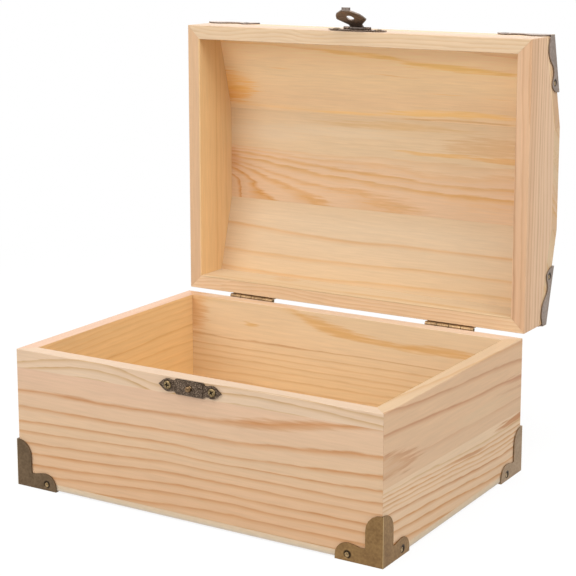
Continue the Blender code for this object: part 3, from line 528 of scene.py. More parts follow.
class ChestSizes(bpy.types.PropertyGroup):
    """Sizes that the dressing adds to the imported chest."""

    arris: FloatProperty(
        name="Arris", description="Radius of the sanded outer edges", default=0.0004, unit="LENGTH"
    )
    rim_arris: FloatProperty(
        name="Rim arris", description="Radius of the rims' edges", default=0.00035, unit="LENGTH"
    )
    ridge_arris: FloatProperty(
        name="Ridge arris", description="Radius of the lid's two ridges", default=0.0016, unit="LENGTH"
    )
    joint: FloatProperty(
        name="Glue line", description="Hairline at each glued joint", default=0.00005, unit="LENGTH"
    )
    lid_edge: FloatProperty(
        name="Lid edge", description="Height of the shut lid's front", default=LID_EDGE, unit="LENGTH"
    )
    lid_flat: FloatProperty(
        name="Lid flat", description="Depth of the lid's flat top", default=LID_FLAT, unit="LENGTH"
    )
    sheet_edge: FloatProperty(
        name="Sheet edge", description="Rounding of stamped sheet edges", default=0.00015, unit="LENGTH"
    )
    sheet_turn: FloatProperty(
        name="Sheet turn", description="Least turn between two sides that is rounded", default=radians(40),
        subtype="ANGLE",
    )


class ChestMetals(bpy.types.PropertyGroup):
    """The rubbed and the tarnished colour of each metal finish."""

    __annotations__ = {
        f"{finish}_{state}": FloatVectorProperty(
            name=f"{finish} {state}".replace("_", " ").capitalize(),
            description=f"{state} colour of the {finish}".replace("_", " ").capitalize(),
            default=linear(code), size=4, min=0, max=1, subtype="COLOR",
        )
        for finish, row in METALS.items()
        for state, code in zip(("rubbed", "tarnished"), row)
    }


class ChestStage(bpy.types.PropertyGroup):
    """Camera and light."""

    camera_place: FloatVectorProperty(
        name="Camera place", description="Where the camera stands", default=(0.4027, -0.66295, 0.27165),
        unit="LENGTH",
    )
    camera_turn: FloatProperty(
        name="Camera turn", description="Turn about the upright", default=radians(31.437), subtype="ANGLE"
    )
    camera_dip: FloatProperty(
        name="Camera dip", description="Angle below the horizon", default=radians(10.532), subtype="ANGLE"
    )
    lens: FloatProperty(name="Lens", description="Focal length in millimetres", default=100.73)
    rise: FloatProperty(
        name="Frame shift", description="Upward shift of the frame, as a share of its width", default=-0.1222
    )
    sky: FloatProperty(name="Sky", description="Strength of the even light from all round", default=0.46)
    left: FloatProperty(name="Left lamp", description="Power of the left lamp", default=8.6, unit="POWER")
    right: FloatProperty(name="Right lamp", description="Power of the right lamp", default=8.4, unit="POWER")
    top: FloatProperty(name="Top lamp", description="Power of the lamp overhead", default=10.7, unit="POWER")
    rear: FloatProperty(name="Rear lamp", description="Power of the lamp behind", default=5.5, unit="POWER")
    lamp_side: FloatProperty(
        name="Lamp side", description="Side of each square lamp", default=0.9, unit="LENGTH"
    )
    lamp_away: FloatProperty(
        name="Lamp distance", description="How far each lamp is from the chest", default=1.5, unit="LENGTH"
    )


def fill(tree, pairs):
    """Links each input to a socket, or sets its own value."""
    for socket, value in pairs:
        if isinstance(value, bpy.types.NodeSocket):
            tree.links.new(value, socket)
        else:
            socket.default_value = value


def add(tree, kind, *values, out=0, **named):
    """Adds a node and gives one of its outputs. Values go to the inputs it shows, in order. A name with a
    capital letter is an input too, and any other name is a setting."""
    node = tree.nodes.new("ShaderNode" + kind)
    inputs = {name: value for name, value in named.items() if name[0].isupper()}
    for name in named.keys() - inputs.keys():
        setattr(node, name, named[name])
    fill(tree, zip([socket for socket in node.inputs if socket.enabled], values))
    fill(tree, [(node.inputs[name], value) for name, value in inputs.items()])
    if isinstance(out, str):
        return node.outputs[out]
    return [socket for socket in node.outputs if socket.enabled][out]


def blank(name):
    """A new material and its node tree."""
    material = bpy.data.materials.new(name)
    material.use_nodes = True
    return material, material.node_tree


def coated(material, inputs):
    """The material, with its shader's inputs linked or set."""
    tree = material.node_tree
    shader = tree.nodes["Principled BSDF"]
    fill(tree, [(shader.inputs[name], value) for name, value in inputs.items()])
    return material


def set_ramp(ramp, stops):
    """Writes (place, colour) stops into a colour ramp and gives the ramp's outputs."""
    stops = sorted(stops)
    elements = ramp.node.color_ramp.elements
    elements[0].position, elements[0].color = stops[0]
    elements[1].position, elements[1].color = stops[-1]
    for place, colour in stops[1:-1]:
        element = elements.new(place)
        element.color = colour
    return ramp.node.outputs


def grain_level(tree, wood, field):
    """The grain's level: the height on the face, less the climb of the nearest guides."""
    share = add(tree, "Math", wood["along"], LONGEST, operation="DIVIDE", use_clamp=True)
    climb, low = None, None
    for place, points in field["guides"]:
        curve = add(tree, "FloatCurve", Value=share)
        mapping = curve.node.mapping
        mapping.use_clip = False
        knots = mapping.curves[0].points
        for number, (at, value) in enumerate(points):
            knot = knots[number] if number < 2 else knots.new(0.5, 0)
            knot.location = (at / LONGEST, value / LONGEST)
        mapping.update()
        here = add(tree, "Math", curve, LONGEST, operation="MULTIPLY")
        if climb is not None:
            here = add(tree, "Mix", add(tree, "MapRange", wood["height"], low, place), climb, here)
        climb, low = here, place
    operation = "ADD" if field.get("sinks") else "SUBTRACT"
    level = add(tree, "Math", wood["height"], climb, operation=operation)
    return add(tree, "Math", level, wood["wander"], operation="ADD")


def grain_colour(tree, wood, field):
    """Tones, latewood lines and stained patches of one strip of wood."""
    level = grain_level(tree, wood, field)
    places = [row[0] for row in (*field["lines"], *field["tones"])]
    low, span = min(places) - SPARE_LEVELS, max(places) - min(places) + 2 * SPARE_LEVELS
    share = add(tree, "MapRange", level, low, low + span)
    tones = [((place - low) / span, linear(code)) for place, code in field["tones"]]
    colour = set_ramp(add(tree, "ValToRGB", share), tones)["Color"]
    stops = []
    for place, strength, before, after, code in field["lines"]:
        steps = (
            (place - before, 0), (place - before * COMING, strength * COMING_STRENGTH), (place, strength),
            (place + after * GONE, 0),
        )
        stops += [((at - low) / span, (*linear(code)[:3], alpha)) for at, alpha in steps]
    # A ramp holds only 32 stops, so two ramps share the lines, each with its four stops
    half = len(stops) // 8 * 4
    for group in (stops[:half], stops[half:]):
        ramp = set_ramp(add(tree, "ValToRGB", share), group)
        mask = add(tree, "Math", ramp["Alpha"], wood["fade"], operation="MULTIPLY")
        colour = add(tree, "Mix", mask, colour, ramp["Color"], data_type="RGBA")
    for at, place, reach, spread, code, strength in field.get("patches", ()):
        near = add(tree, "Math", wood["fibre"], RUFFLE, -RUFFLE / 2, operation="MULTIPLY_ADD")
        for value, middle, size in ((wood["along"], at, reach), (level, place, spread)):
            part = add(tree, "Math", value, 1 / size, -middle / size, operation="MULTIPLY_ADD")
            near = add(tree, "Math", part, part, near, operation="MULTIPLY_ADD")
        mask = add(tree, "MapRange", near, 1, 0, 0, strength, interpolation_type="SMOOTHSTEP")
        colour = add(tree, "Mix", mask, colour, linear(code), data_type="RGBA")
    return colour


def sanded_pine(name, board):
    """Unfinished planed pine: matt, with pale earlywood, warm latewood lines that are sharp on one side and
    fade on the other, and fine fibres along the grain that catch the light."""
    material, tree = blank("sanded_pine_" + name)
    corner, *axes = board["face"]
    offset = add(tree, "VectorMath", add(tree, "TexCoord", out="Object"), corner, operation="SUBTRACT")
    along, across, depth, sunk = (
        add(tree, "VectorMath", offset, axis / MM, operation="DOT_PRODUCT")
        for axis in (*axes, axes[0].cross(axes[1]))
    )
    # Every board's wood starts somewhere else in the noises, by its name
    start = sum(ord(letter) for letter in name) * NAME_STEP
    start = (start, start / 3, start / 5)
    grain = add(tree, "CombineXYZ", along, across, depth)
    noises = []
    for *size, detail in PINE_NOISES:
        spot = add(tree, "Mapping", grain, Location=start, Scale=[1 / side for side in size])
        noises.append(add(tree, "TexNoise", spot, 1, detail))
    sway, ripple, fibre, streak, cloud, pore = noises
    wander = -(SWAY + RIPPLE + FRAY) / 2
    for noise, reach in ((sway, SWAY), (ripple, RIPPLE), (fibre, FRAY)):
        wander = add(tree, "Math", noise, reach, wander, operation="MULTIPLY_ADD")
    wood = {
        "along": along,
        "height": add(tree, "Math", depth, board["tilt"], across, operation="MULTIPLY_ADD"),
        "wander": wander,
        "fade": add(tree, "MapRange", streak, *NOISE, *LINE_FADE),
        "fibre": fibre,
    }
    colour = grain_colour(tree, wood, board)
    if "strip" in board:
        strip = board["strip"]
        near, far = strip["seam"]
        seam = add(tree, "Math", along, (far - near) / LONGEST, near, operation="MULTIPLY_ADD")
        above = add(tree, "Math", across, seam, operation="SUBTRACT")
        blur = -SEAM_BLUR if strip.get("below") else SEAM_BLUR
        mask = add(tree, "MapRange", above, -blur, blur)
        colour = add(tree, "Mix", mask, colour, grain_colour(tree, wood, strip), data_type="RGBA")
    facing = add(tree, "TexCoord", out="Normal")
    endways = add(tree, "VectorMath", facing, axes[0], operation="DOT_PRODUCT")
    endways = add(tree, "Math", endways, operation="ABSOLUTE")
    end = add(tree, "MapRange", endways, *END_TURN, 0, END_SHARE)
    colour = add(tree, "Mix", end, colour, linear(END_GRAIN), data_type="RGBA")
    light = 1
    for noise, steps in ((fibre, FIBRE_LIGHT), (cloud, CLOUD_LIGHT), (pore, PORE_LIGHT)):
        light = add(tree, "Math", light, add(tree, "MapRange", noise, *steps), operation="MULTIPLY")
    colour = add(tree, "VectorMath", colour, light, operation="SCALE")
    # Painted light and shade: the face and the board's other sides are lightened or darkened by factors of
    # their own
    painted_light, outer_painted_light = (*board["painted_light"], 1), (*board.get("outer_painted_light", board["painted_light"]), 1)
    side = add(tree, "MapRange", add(tree, "Math", sunk, operation="ABSOLUTE"), *FACE_SKIN)
    painted_shading = add(tree, "Mix", side, painted_light, outer_painted_light, data_type="RGBA")
    # Painted shade and light on the rims: what looks up while the lid stands open takes a factor of its own
    if "rim_painted_light" in board:
        upward = add(tree, "SeparateXYZ", facing, out="Z")
        rim = add(tree, "Math", upward, LOOKS_UP, operation="GREATER_THAN")
        painted_shading = add(tree, "Mix", rim, painted_shading, (*board["rim_painted_light"], 1), data_type="RGBA")
    return coated(material, {
        "Base Color": add(tree, "Mix", 1, colour, painted_shading, data_type="RGBA", blend_type="MULTIPLY"),
        "Roughness": add(tree, "MapRange", fibre, *NOISE, *PINE_ROUGHNESS),
        "Specular IOR Level": PINE_SHINE,
        "Normal": add(tree, "Bump", Height=fibre, **PINE_BUMP),
    })


def pale_plywood():
    """Thin birch plywood: peeled veneer with a faint, wide figure on its faces, and on its edge pale plies
    over a greyer core, matt from the saw."""
    material, tree = blank("pale_plywood")
    place = add(tree, "TexCoord", out="Object")
    noises = []
    for *size, detail in PLYWOOD_NOISES:
        spot = add(tree, "Mapping", place, Scale=[1 / (side * MM) for side in size])
        noises.append(add(tree, "TexNoise", spot, 1, detail))
    figure, pore, speck = noises
    height = add(tree, "SeparateXYZ", place, out="Z")
    share = add(tree, "MapRange", height, PANEL_LOW.z, PANEL_HIGH.z)
    edge = set_ramp(add(tree, "ValToRGB", share), [(at, linear(code)) for at, code in PLIES])["Color"]
    edge = add(tree, "VectorMath", edge, add(tree, "MapRange", speck, *PLY_LIGHT), operation="SCALE")
    rings = add(tree, "Math", figure, RINGS, operation="MULTIPLY")
    rings = add(tree, "Math", rings, 0.5, operation="PINGPONG")
    rings = add(tree, "Math", rings, RING_SHARE, operation="MULTIPLY")
    veneer = add(tree, "Mix", rings, linear(VENEER_PALE), linear(VENEER_DARK), data_type="RGBA")
    veneer = add(tree, "VectorMath", veneer, add(tree, "MapRange", pore, *VENEER_LIGHT), operation="SCALE")
    facing = add(tree, "SeparateXYZ", add(tree, "TexCoord", out="Normal"), out="Z")
    facing = add(tree, "Math", facing, operation="ABSOLUTE")
    flat = add(tree, "Math", facing, FLAT_SIDE, operation="GREATER_THAN")
    return coated(material, {
        "Base Color": add(tree, "Mix", flat, edge, veneer, data_type="RGBA"),
        "Roughness": PLYWOOD_ROUGHNESS,
        "Normal": add(tree, "Bump", Height=pore, **PLYWOOD_BUMP),
    })


def metal(finish):
    """A metal finish's tarnished colour, its rubbed colour and its roughness."""
    colours = bpy.context.scene.chest_metals
    dark, bright = (tuple(getattr(colours, f"{finish}_{state}")) for state in ("tarnished", "rubbed"))
    return dark, bright, METALS[finish][2]


def bronzed_steel(name, finish, folds=(), pits=()):
    """Steel sheet plated and darkened to antique bronze: a dull metal, cloudy with fine mottling and small
    dark specks, worn to a pale line along a fold, with painted shade for the shadow in the nails' pits."""
    material, tree = blank(name)
    dark, bright, rough = metal(finish)
    place = add(tree, "TexCoord", out="Object")
    cloud, mottle, speck = (
        add(tree, "TexNoise", place, 1 / (size * MM), detail) for size, detail in SHEET_NOISES
    )
    patina = add(tree, "Mix", MOTTLE_SHARE, cloud, mottle)
    tone = add(tree, "Mix", add(tree, "MapRange", patina, *NOISE), dark, bright, data_type="RGBA")
    spots = add(tree, "MapRange", speck, *SPECKS)
    if folds:
        parts = add(tree, "SeparateXYZ", place).node.outputs
        reaches = []
        for axis, middle, reach in folds:
            away = add(tree, "Math", parts[axis], middle, operation="SUBTRACT")
            away = add(tree, "Math", away, operation="ABSOLUTE")
            reaches.append(add(tree, "Math", away, reach, operation="SUBTRACT"))
        near = add(tree, "Math", *reaches, operation="MINIMUM")
        worn = add(tree, "MapRange", near, *WORN_LINE, 0, WORN_SHARE)
        tone = add(tree, "Mix", worn, tone, linear(WORN), data_type="RGBA")
        beside = add(tree, "MapRange", near, *FLECK_REACH)
        flecks = add(tree, "Math", beside, add(tree, "MapRange", mottle, *FLECKS), operation="MULTIPLY")
        spots = add(tree, "Math", spots, flecks, operation="MAXIMUM")
    tone = add(tree, "Mix", spots, tone, linear(GRIME), data_type="RGBA")
    # Painted shade: a dark spot round each nail, off its middle, for the shadow in the nail's dimple
    for pit in pits:
        gap = add(tree, "VectorMath", place, pit, operation="DISTANCE")
        pit_shade_share = add(tree, "MapRange", gap, *PIT_REACH, *PIT_SHARES)
        tone = add(tree, "Mix", pit_shade_share, tone, linear(PIT_SHADE), data_type="RGBA")
    return coated(material, {
        "Base Color": tone,
        "Metallic": 1,
        "Roughness": add(tree, "MapRange", patina, *NOISE, rough + TARNISH_ROUGHNESS, rough),
        "Normal": add(tree, "Bump", Height=mottle, **SHEET_BUMP),
    })


def stamped_bronze(name, finish):
    """Thin steel stamped with a curling ground and darkened: the sunk lines hold the dark, and the raised
    curls are rubbed back."""
    material, tree = blank(name)
    dark, bright, rough = metal(finish)
    place = add(tree, "TexCoord", out="Object")
    sway, cloud = (add(tree, "TexNoise", place, 1 / (size * MM), detail) for size, detail in CURL_NOISES)
    moved = add(tree, "Mix", CURL_SWAY, place, sway.node.outputs["Color"], data_type="RGBA")
    cells = add(tree, "TexVoronoi", moved, 1 / CURL, feature="DISTANCE_TO_EDGE")
    curls = add(tree, "MapRange", cells, *CURL_EDGE)
    rubbed = add(tree, "Math", curls, add(tree, "MapRange", cloud, *NOISE, *CURL_WEAR), operation="MULTIPLY")
    return coated(material, {
        "Base Color": add(tree, "Mix", rubbed, dark, bright, data_type="RGBA"),
        "Metallic": 1,
        "Roughness": rough,
        "Normal": add(tree, "Bump", Height=curls, **CURL_BUMP),
    })


def plated_brass(name, finish):
    """Brass-plated steel of a small fastener: bright where it is rubbed, brown in its cloudy tarnish."""
    material, tree = blank(name)
    dark, bright, rough = metal(finish)
    cloud = add(tree, "TexNoise", add(tree, "TexCoord", out="Object"), 1 / BRASS_CLOUD, BRASS_DETAIL)
    mask = add(tree, "MapRange", cloud, *BRASS_SPAN)
    tone = add(tree, "Mix", mask, dark, bright, data_type="RGBA")
    return coated(material, {"Base Color": tone, "Metallic": 1, "Roughness": rough})


def grimed_recess():
    """Painted shade in a driver's slot, under a nail's head and round the peg's neck: nearly black, and
    rough.
    """
    material, tree = blank("grimed_recess")
    cloud = add(tree, "TexNoise", add(tree, "TexCoord", out="Object"), 1 / RECESS_CLOUD, RECESS_DETAIL)
    tone = add(tree, "Mix", cloud, linear(RECESS_SHADE_DARK), linear(RECESS_SHADE_PALE), data_type="RGBA")
    inputs = {"Base Color": tone, "Specular IOR Level": RECESS_SHINE, "Roughness": RECESS_ROUGHNESS}
    return coated(material, inputs)


def placed(name, data):
    """A new object in the scene."""
    made = bpy.data.objects.new(name, data)
    bpy.context.scene.collection.objects.link(made)
    return made


def meshed(name, shape, finishes):
    """Ends a bmesh as a mesh with its finishes."""
    mesh = bpy.data.meshes.new(name)
    shape.to_mesh(mesh)
    shape.free()
    for finish in finishes:
        mesh.materials.append(finish)
    return mesh


def dome(radius, crown, steps, rings):
    """The first rings of a domed crown's outline, from its middle outwards."""
    turns = [pi / 2 * step / steps for step in range(rings)]
    return [(radius * sin(turn), -crown * (1 - cos(turn)), PLATED) for turn in turns]


def turned(profile, sides=32):
    """A turned solid about Z. Each (radius, height, finish) starts a band that runs to the next."""
    shape = bmesh.new()
    rings = []
    for radius, height, _ in profile:
        if radius:
            turns = [tau * side / sides for side in range(sides)]
            points = [(radius * cos(turn), radius * sin(turn), height) for turn in turns]
            rings.append([shape.verts.new(point) for point in points])
        else:
            rings.append([shape.verts.new((0, 0, height))] * sides)
    for upper, lower, (_, _, finish) in zip(rings, rings[1:], profile):
        for side in range(sides):
            after = (side + 1) % sides
            band = shape.faces.new(dict.fromkeys((upper[side], upper[after], lower[after], lower[side])))
            band.material_index = finish
            band.smooth = True
    bmesh.ops.recalc_face_normals(shape, faces=shape.faces)
    return shape


def crossed(reach, half, deep, above):
    """The cutter for a cross recess, which leaves it in painted shade: a plus-shaped prism that narrows
    towards its foot.
    """
    shape = bmesh.new()
    rings = []
    for height, scale in ((above, CROSS_FLARE), (-deep, CROSS_FOOT)):
        outline = []
        for arm in range(4):
            turn = Matrix.Rotation(arm * pi / 2, 3, "Z")
            for x, y in ((reach, -half), (reach, half), (half, half)):
                outline.append(shape.verts.new(turn @ Vector((x * scale, y * scale, height))))
        rings.append(outline)
    top, foot = rings
    for corner in range(len(top)):
        after = (corner + 1) % len(top)
        shape.faces.new((top[corner], top[after], foot[after], foot[corner]))
    shape.faces.new(top)
    shape.faces.new(foot)
    for side in shape.faces:
        side.material_index = SHADED
    bmesh.ops.recalc_face_normals(shape, faces=shape.faces)
    return shape


def carved(mesh, cutter_shape):
    """The mesh with the cutter's shape taken out of it."""
    piece = placed("blank_to_carve", mesh)
    cutter = placed("carving_cutter", meshed("carving_cutter", cutter_shape, mesh.materials))
    cut = piece.modifiers.new("recess", "BOOLEAN")
    cut.operation = "DIFFERENCE"
    cut.solver = "MANIFOLD"
    cut.object = cutter
    graph = bpy.context.evaluated_depsgraph_get()
    result = bpy.data.meshes.new_from_object(piece.evaluated_get(graph), depsgraph=graph)
    for made in (piece, cutter):
        bpy.data.objects.remove(made)
    result.name = mesh.name
    return result


def face(normal, offset):
    """A plane by its normal and its distance from the origin along it."""
    return Vector(normal).normalized(), offset


def through(point, normal):
    """A plane through a point."""
    normal = Vector(normal).normalized()
    return normal, Vector(point).dot(normal)


def outer_faces():
    """The chest's four outer sides."""
    return {
        "left": face(-X, -LEFT),
        "right": face(X, RIGHT),
        "front": face(-Y, -PANEL_LOW.y),
        "back": face(Y, PANEL_HIGH.y),
    }


def rounded(first, second, radius, steps=3):
    """Planes that round the edge between two faces."""
    (one, far), (two, wide) = first, second
    lean = one.dot(two)
    share = Matrix(((1, lean), (lean, 1))).inverted() @ Vector((far - radius, wide - radius))
    middle = one * share.x + two * share.y
    planes = []
    for step in range(1, steps + 1):
        normal = one.slerp(two, step / (steps + 1))
        planes.append((normal, normal.dot(middle) + radius))
    return planes


def mitres(side, sizes):
    """The two mitre planes at the ends of one wall, half a glue line short of the middle."""
    corners = {"front": (-Y, X), "back": (Y, X), "left": (-X, Y), "right": (X, Y)}
    out, along = corners[side]
    reach = WIDTH / 2 if out.y else DEPTH / 2
    thick = DEPTH / 2 if out.y else WIDTH / 2
    planes = []
    for end in (-1, 1):
        normal = (along * end - out).normalized()
        corner = BASE_MIDDLE + along * end * reach + out * thick
        planes.append((normal, normal.dot(corner) - sizes.joint / 2))
    return planes


def stands_for(piece, node):
    """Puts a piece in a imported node's place, and stops if it isn't that node's size."""
    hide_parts(node)
    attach(piece, BODIES[node])
    low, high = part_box(node)
    corners = [piece.matrix_world @ point.co for point in piece.data.vertices]
    for axis in range(3):
        ends = min(corner[axis] for corner in corners), max(corner[axis] for corner in corners)
        if abs(ends[0] - low[axis]) > FIT or abs(ends[1] - high[axis]) > FIT:
            wanted = low[axis], high[axis]
            raise RuntimeError(f"{piece.name} is off its node along axis {axis}: {ends}, not {wanted}")


def sawn(node, planes, material, swing=None):
    """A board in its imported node's place: what is left of a large blank when each plane has cut it."""
    shape = bmesh.new()
    bmesh.ops.create_cube(shape, size=1)
    for normal, offset in planes:
        everything = shape.verts[:] + shape.edges[:] + shape.faces[:]
        cut = bmesh.ops.bisect_plane(
            shape, geom=everything, dist=SAME_POINT,
            plane_co=normal * offset, plane_no=normal, clear_outer=True,
        )
        edges = [piece for piece in cut["geom_cut"] if isinstance(piece, bmesh.types.BMEdge)]
        if edges:
            bmesh.ops.contextual_create(shape, geom=edges)
    bmesh.ops.recalc_face_normals(shape, faces=shape.faces)
    if swing:
        shape.transform(swing)
    board = placed("board_" + node, meshed("board_" + node, shape, [material]))
    stands_for(board, node)


class CHEST_OT_base_boards(bpy.types.Operator):
    """Makes the four mitred walls and the bottom panel of the base"""

    bl_idname = "chest.base_boards"
    bl_label = "Base boards"

    def execute(self, context):
        sizes = context.scene.chest_sizes
        sides = outer_faces()
        top, foot = face(Z, BASE_RIM), face(-Z, -PANEL_HIGH.z - sizes.joint)
        underside = face(-Z, -PANEL_LOW.z)
        shared = [*sides.values(), top, foot]
        for upright in ("left", "right"):
            for other in ("front", "back"):
                shared += rounded(sides[upright], sides[other], sizes.arris)
        for side in sides.values():
            shared += rounded(side, top, sizes.rim_arris)
        for name, side in sides.items():
            inner = -side[0], WALL - side[1]
            planes = shared + [inner] + rounded(inner, top, sizes.rim_arris) + mitres(name, sizes)
            node = f"base_{name}_wall"
            sawn(node, planes, sanded_pine(node, GRAIN[node]))
        panel = [*sides.values(), face(Z, PANEL_HIGH.z), underside]
        for side in sides.values():
            panel += rounded(side, underside, sizes.rim_arris)
        sawn("bottom_panel", panel, pale_plywood())
        return {"FINISHED"}


class CHEST_OT_lid_boards(bpy.types.Operator):
    """Makes the lid's walls, ends and planks"""

    bl_idname = "chest.lid_boards"
    bl_label = "Lid boards"

    def execute(self, context):
        sizes = context.scene.chest_sizes
        sides = outer_faces()
        rim, top = face(-Z, -LID_RIM), face(Z, LID_TOP)
        run = (DEPTH - sizes.lid_flat) / 2
        rise = LID_TOP - LID_RIM - sizes.lid_edge
        slopes, ridges = {}, {}
        for name, side in (("front", -1), ("back", 1)):
            normal = Vector((0, side * rise, run)).normalized()
            slopes[name] = through((0, BASE_MIDDLE.y + side * DEPTH / 2, LID_RIM + sizes.lid_edge), normal)
            lean = slopes[name][0] + Z
            normal = Vector((0, side * lean.z, -side * lean.y)).normalized()
            ridges[name] = through((0, BASE_MIDDLE.y + side * sizes.lid_flat / 2, LID_TOP), normal)
        shared = [*sides.values(), rim, top, *slopes.values()]
        for end in ("left", "right"):
            for other in ("front", "back"):
                shared += rounded(sides[end], sides[other], sizes.arris)
                shared += rounded(sides[end], slopes[other], sizes.arris)
            shared += rounded(sides[end], top, sizes.arris)
        for name, slope in slopes.items():
            shared += rounded(sides[name], slope, sizes.arris)
            shared += rounded(slope, top, sizes.ridge_arris)
        for side in sides.values():
            shared += rounded(side, rim, sizes.rim_arris)
        under = {name: (-slope[0], PLANK - slope[1]) for name, slope in slopes.items()}
        under["top"] = (-Z, PLANK - LID_TOP)
        boards = {}
        for name, side in sides.items():
            inner = -side[0], WALL - side[1]
            wall = name in slopes
            tops = [under[name]] if wall else under.values()
            planes = shared + [inner] + rounded(inner, rim, sizes.rim_arris) + mitres(name, sizes)
            planes += [(-normal, -offset - sizes.joint) for normal, offset in tops]
            boards[f"lid_{name}_wall" if wall else f"lid_{name}_end"] = planes
        ends = [(normal, offset - sizes.joint / 2) for normal, offset in ridges.values()]
        boards["lid_top_plank"] = shared + [under["top"]] + ends
        for name, (normal, offset) in ridges.items():
            boards[f"lid_{name}_plank"] = shared + [under[name], (-normal, -offset - sizes.joint / 2)]
        for node, planes in boards.items():
            sawn(node, planes, sanded_pine(node, GRAIN[node]), OPEN_LID)
        return {"FINISHED"}


def head_of(node):
    """Where a fastener's head stands, the way it faces, its radius and the fastener's length."""
    low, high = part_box(node)
    size, centre = high - low, (low + high) / 2
    # The peg's collar is wider than the peg is long. Any other fastener runs along its longest side.
    axis = 1 if node == "catch_peg" else max(range(3), key=lambda side: size[side])
    way = Vector((0, 0, 0))
    way[axis] = 1 if centre[axis] > MIDDLES[BODIES[node]][axis] else -1
    top = centre.copy()
    top[axis] = high[axis] if way[axis] > 0 else low[axis]
    return top, way, size[(axis + 1) % 3] / 2, size[axis]


class CHEST_OT_sheet_metal(bpy.types.Operator):
    """Finishes the brackets, hinge leaves, plates, flap and pins"""

    bl_idname = "chest.sheet_metal"
    bl_label = "Sheet metal"

    def execute(self, context):
        sizes = context.scene.chest_sizes
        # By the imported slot, or by the node's name where it has a finish of its own
        finishes = {
            "antique_bronze": bronzed_steel("bronzed_hinge_leaf", "hinge_leaf"),
            "brassy_steel": plated_brass("worn_brass_pin", "pin"),
            "catch_plate": stamped_bronze("stamped_catch_plate", "catch_plate"),
            "hasp_plate": stamped_bronze("stamped_hasp_plate", "hasp_plate"),
            "hasp_flap": bronzed_steel("dark_bronze_flap", "hasp_flap"),
        }
        for node in SLOTS:
            if "bracket" in node and SLOTS[node] == "antique_bronze":
                finishes[node] = self.bracket(node)
        for node, piece in frame["nodes"].items():
            finish = finishes.get(node) or finishes.get(SLOTS[node])
            if finish is None:
                continue
            piece.data.materials.clear()
            piece.data.materials.append(finish)
            bevel = piece.modifiers.new("edges", "BEVEL")
            bevel.width = sizes.sheet_edge
            bevel.segments = 2
            bevel.limit_method = "ANGLE"
            bevel.angle_limit = sizes.sheet_turn
            bevel.use_clamp_overlap = True
        return {"FINISHED"}

    def bracket(self, node):
        """One bracket's finish, with its own worn fold and painted shade round its own nails' pits."""
        low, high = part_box(node)
        body = BODIES[node]
        middle = MIDDLES[body]
        folds = []
        for axis in (0, 1 if body == "base" else 2):
            reach = max(abs(low[axis] - middle[axis]), abs(high[axis] - middle[axis]))
            folds.append((axis, middle[axis], reach))
        pits = []
        for nail in SLOTS:
            if nail.startswith(node + "_"):
                top, way, _, _ = head_of(nail)
                # The painted shade sits off each nail to one side, where the dimple's shadow falls
                shift = Z.cross(way) + Z if body == "base" else way.cross(Y)
                pits.append(top + shift * PIT_SHIFT)
        return bronzed_steel("bronzed_" + node, node if node in METALS else body + "_bracket", folds, pits)


class CHEST_OT_fasteners(bpy.types.Operator):
    """Makes the cross-recess screws, the nails and the hasp's peg"""

    bl_idname = "chest.fasteners"
    bl_label = "Fasteners"

    def execute(self, context):
        dark = grimed_recess()
        makers = {
            "screw": (self.screw, (plated_brass("brass_plated_screw", "screw"), dark)),
            "nail": (self.nail, (plated_brass("bronzed_nail", "nail"), dark)),
            "peg": (self.peg, (plated_brass("rubbed_brass_peg", "peg"), dark)),
        }
        meshes = {}
        for number, node in enumerate(sorted(SLOTS)):
            kind = next((kind for kind in makers if f"_{kind}" in node), None)
            if kind is None:
                continue
            top, way, radius, length = head_of(node)
            size = (kind, round(radius / MM, 2))
            if size not in meshes:
                make, finishes = makers[kind]
                meshes[size] = make(radius, length, finishes)
            turn = radians(SCREW_START + SCREW_STEP * number) if kind == "screw" else 0
            made = placed(f"{kind}_{node}", meshes[size])
            made.matrix_world = Matrix.Translation(top) @ way.to_track_quat("Z", "Y").to_matrix().to_4x4()
            made.matrix_world = made.matrix_world @ Matrix.Rotation(turn, 4, "Z")
            context.view_layer.update()
            stands_for(made, node)
        return {"FINISHED"}

    def screw(self, radius, length, finishes):
        """A domed countersunk head with a cross recess in painted shade, its cone and its shank."""
        crown, shank = SCREW_CROWN, radius * SCREW_SHANK
        rim, under = SCREW_RIM
        profile = dome(radius, crown, 6, 7) + [
            (radius * rim, -crown - under, PLATED), (shank, -crown - SCREW_CONE, PLATED),
            (shank, shank - length, PLATED), (0, -length, PLATED),
        ]
        recess = crossed(radius * CROSS_REACH, radius * CROSS_HALF, crown * CROSS_DEPTH, crown)
        return carved(meshed("screw", turned(profile), finishes), recess)

    def nail(self, radius, length, finishes):
        """A low domed head sitting in its pit, with a dark rim of painted shade under it, and its shank."""
        crown, shank = NAIL_CROWN, radius * NAIL_SHANK
        rim, under, foot = NAIL_RIM
        profile = dome(radius, crown, 5, 5) + [
            (radius, -crown, SHADED), (radius * rim, -crown - under, SHADED), (shank, -crown - foot, SHADED),
            (shank, shank - length, PLATED), (0, -length, PLATED),
        ]
        return meshed("nail", turned(profile), finishes)

    def peg(self, radius, length, finishes):
        """The hasp's peg: a rounded head over a neck in painted shade, on a small collar."""
        profile = [(radius * share, -deep * MM, finish) for share, deep, finish in PEG_OUTLINE]
        profile += [(profile[-1][0], -length, PLATED), (0, -length, PLATED)]
        return meshed("peg", turned(profile, PEG_SIDES), finishes)


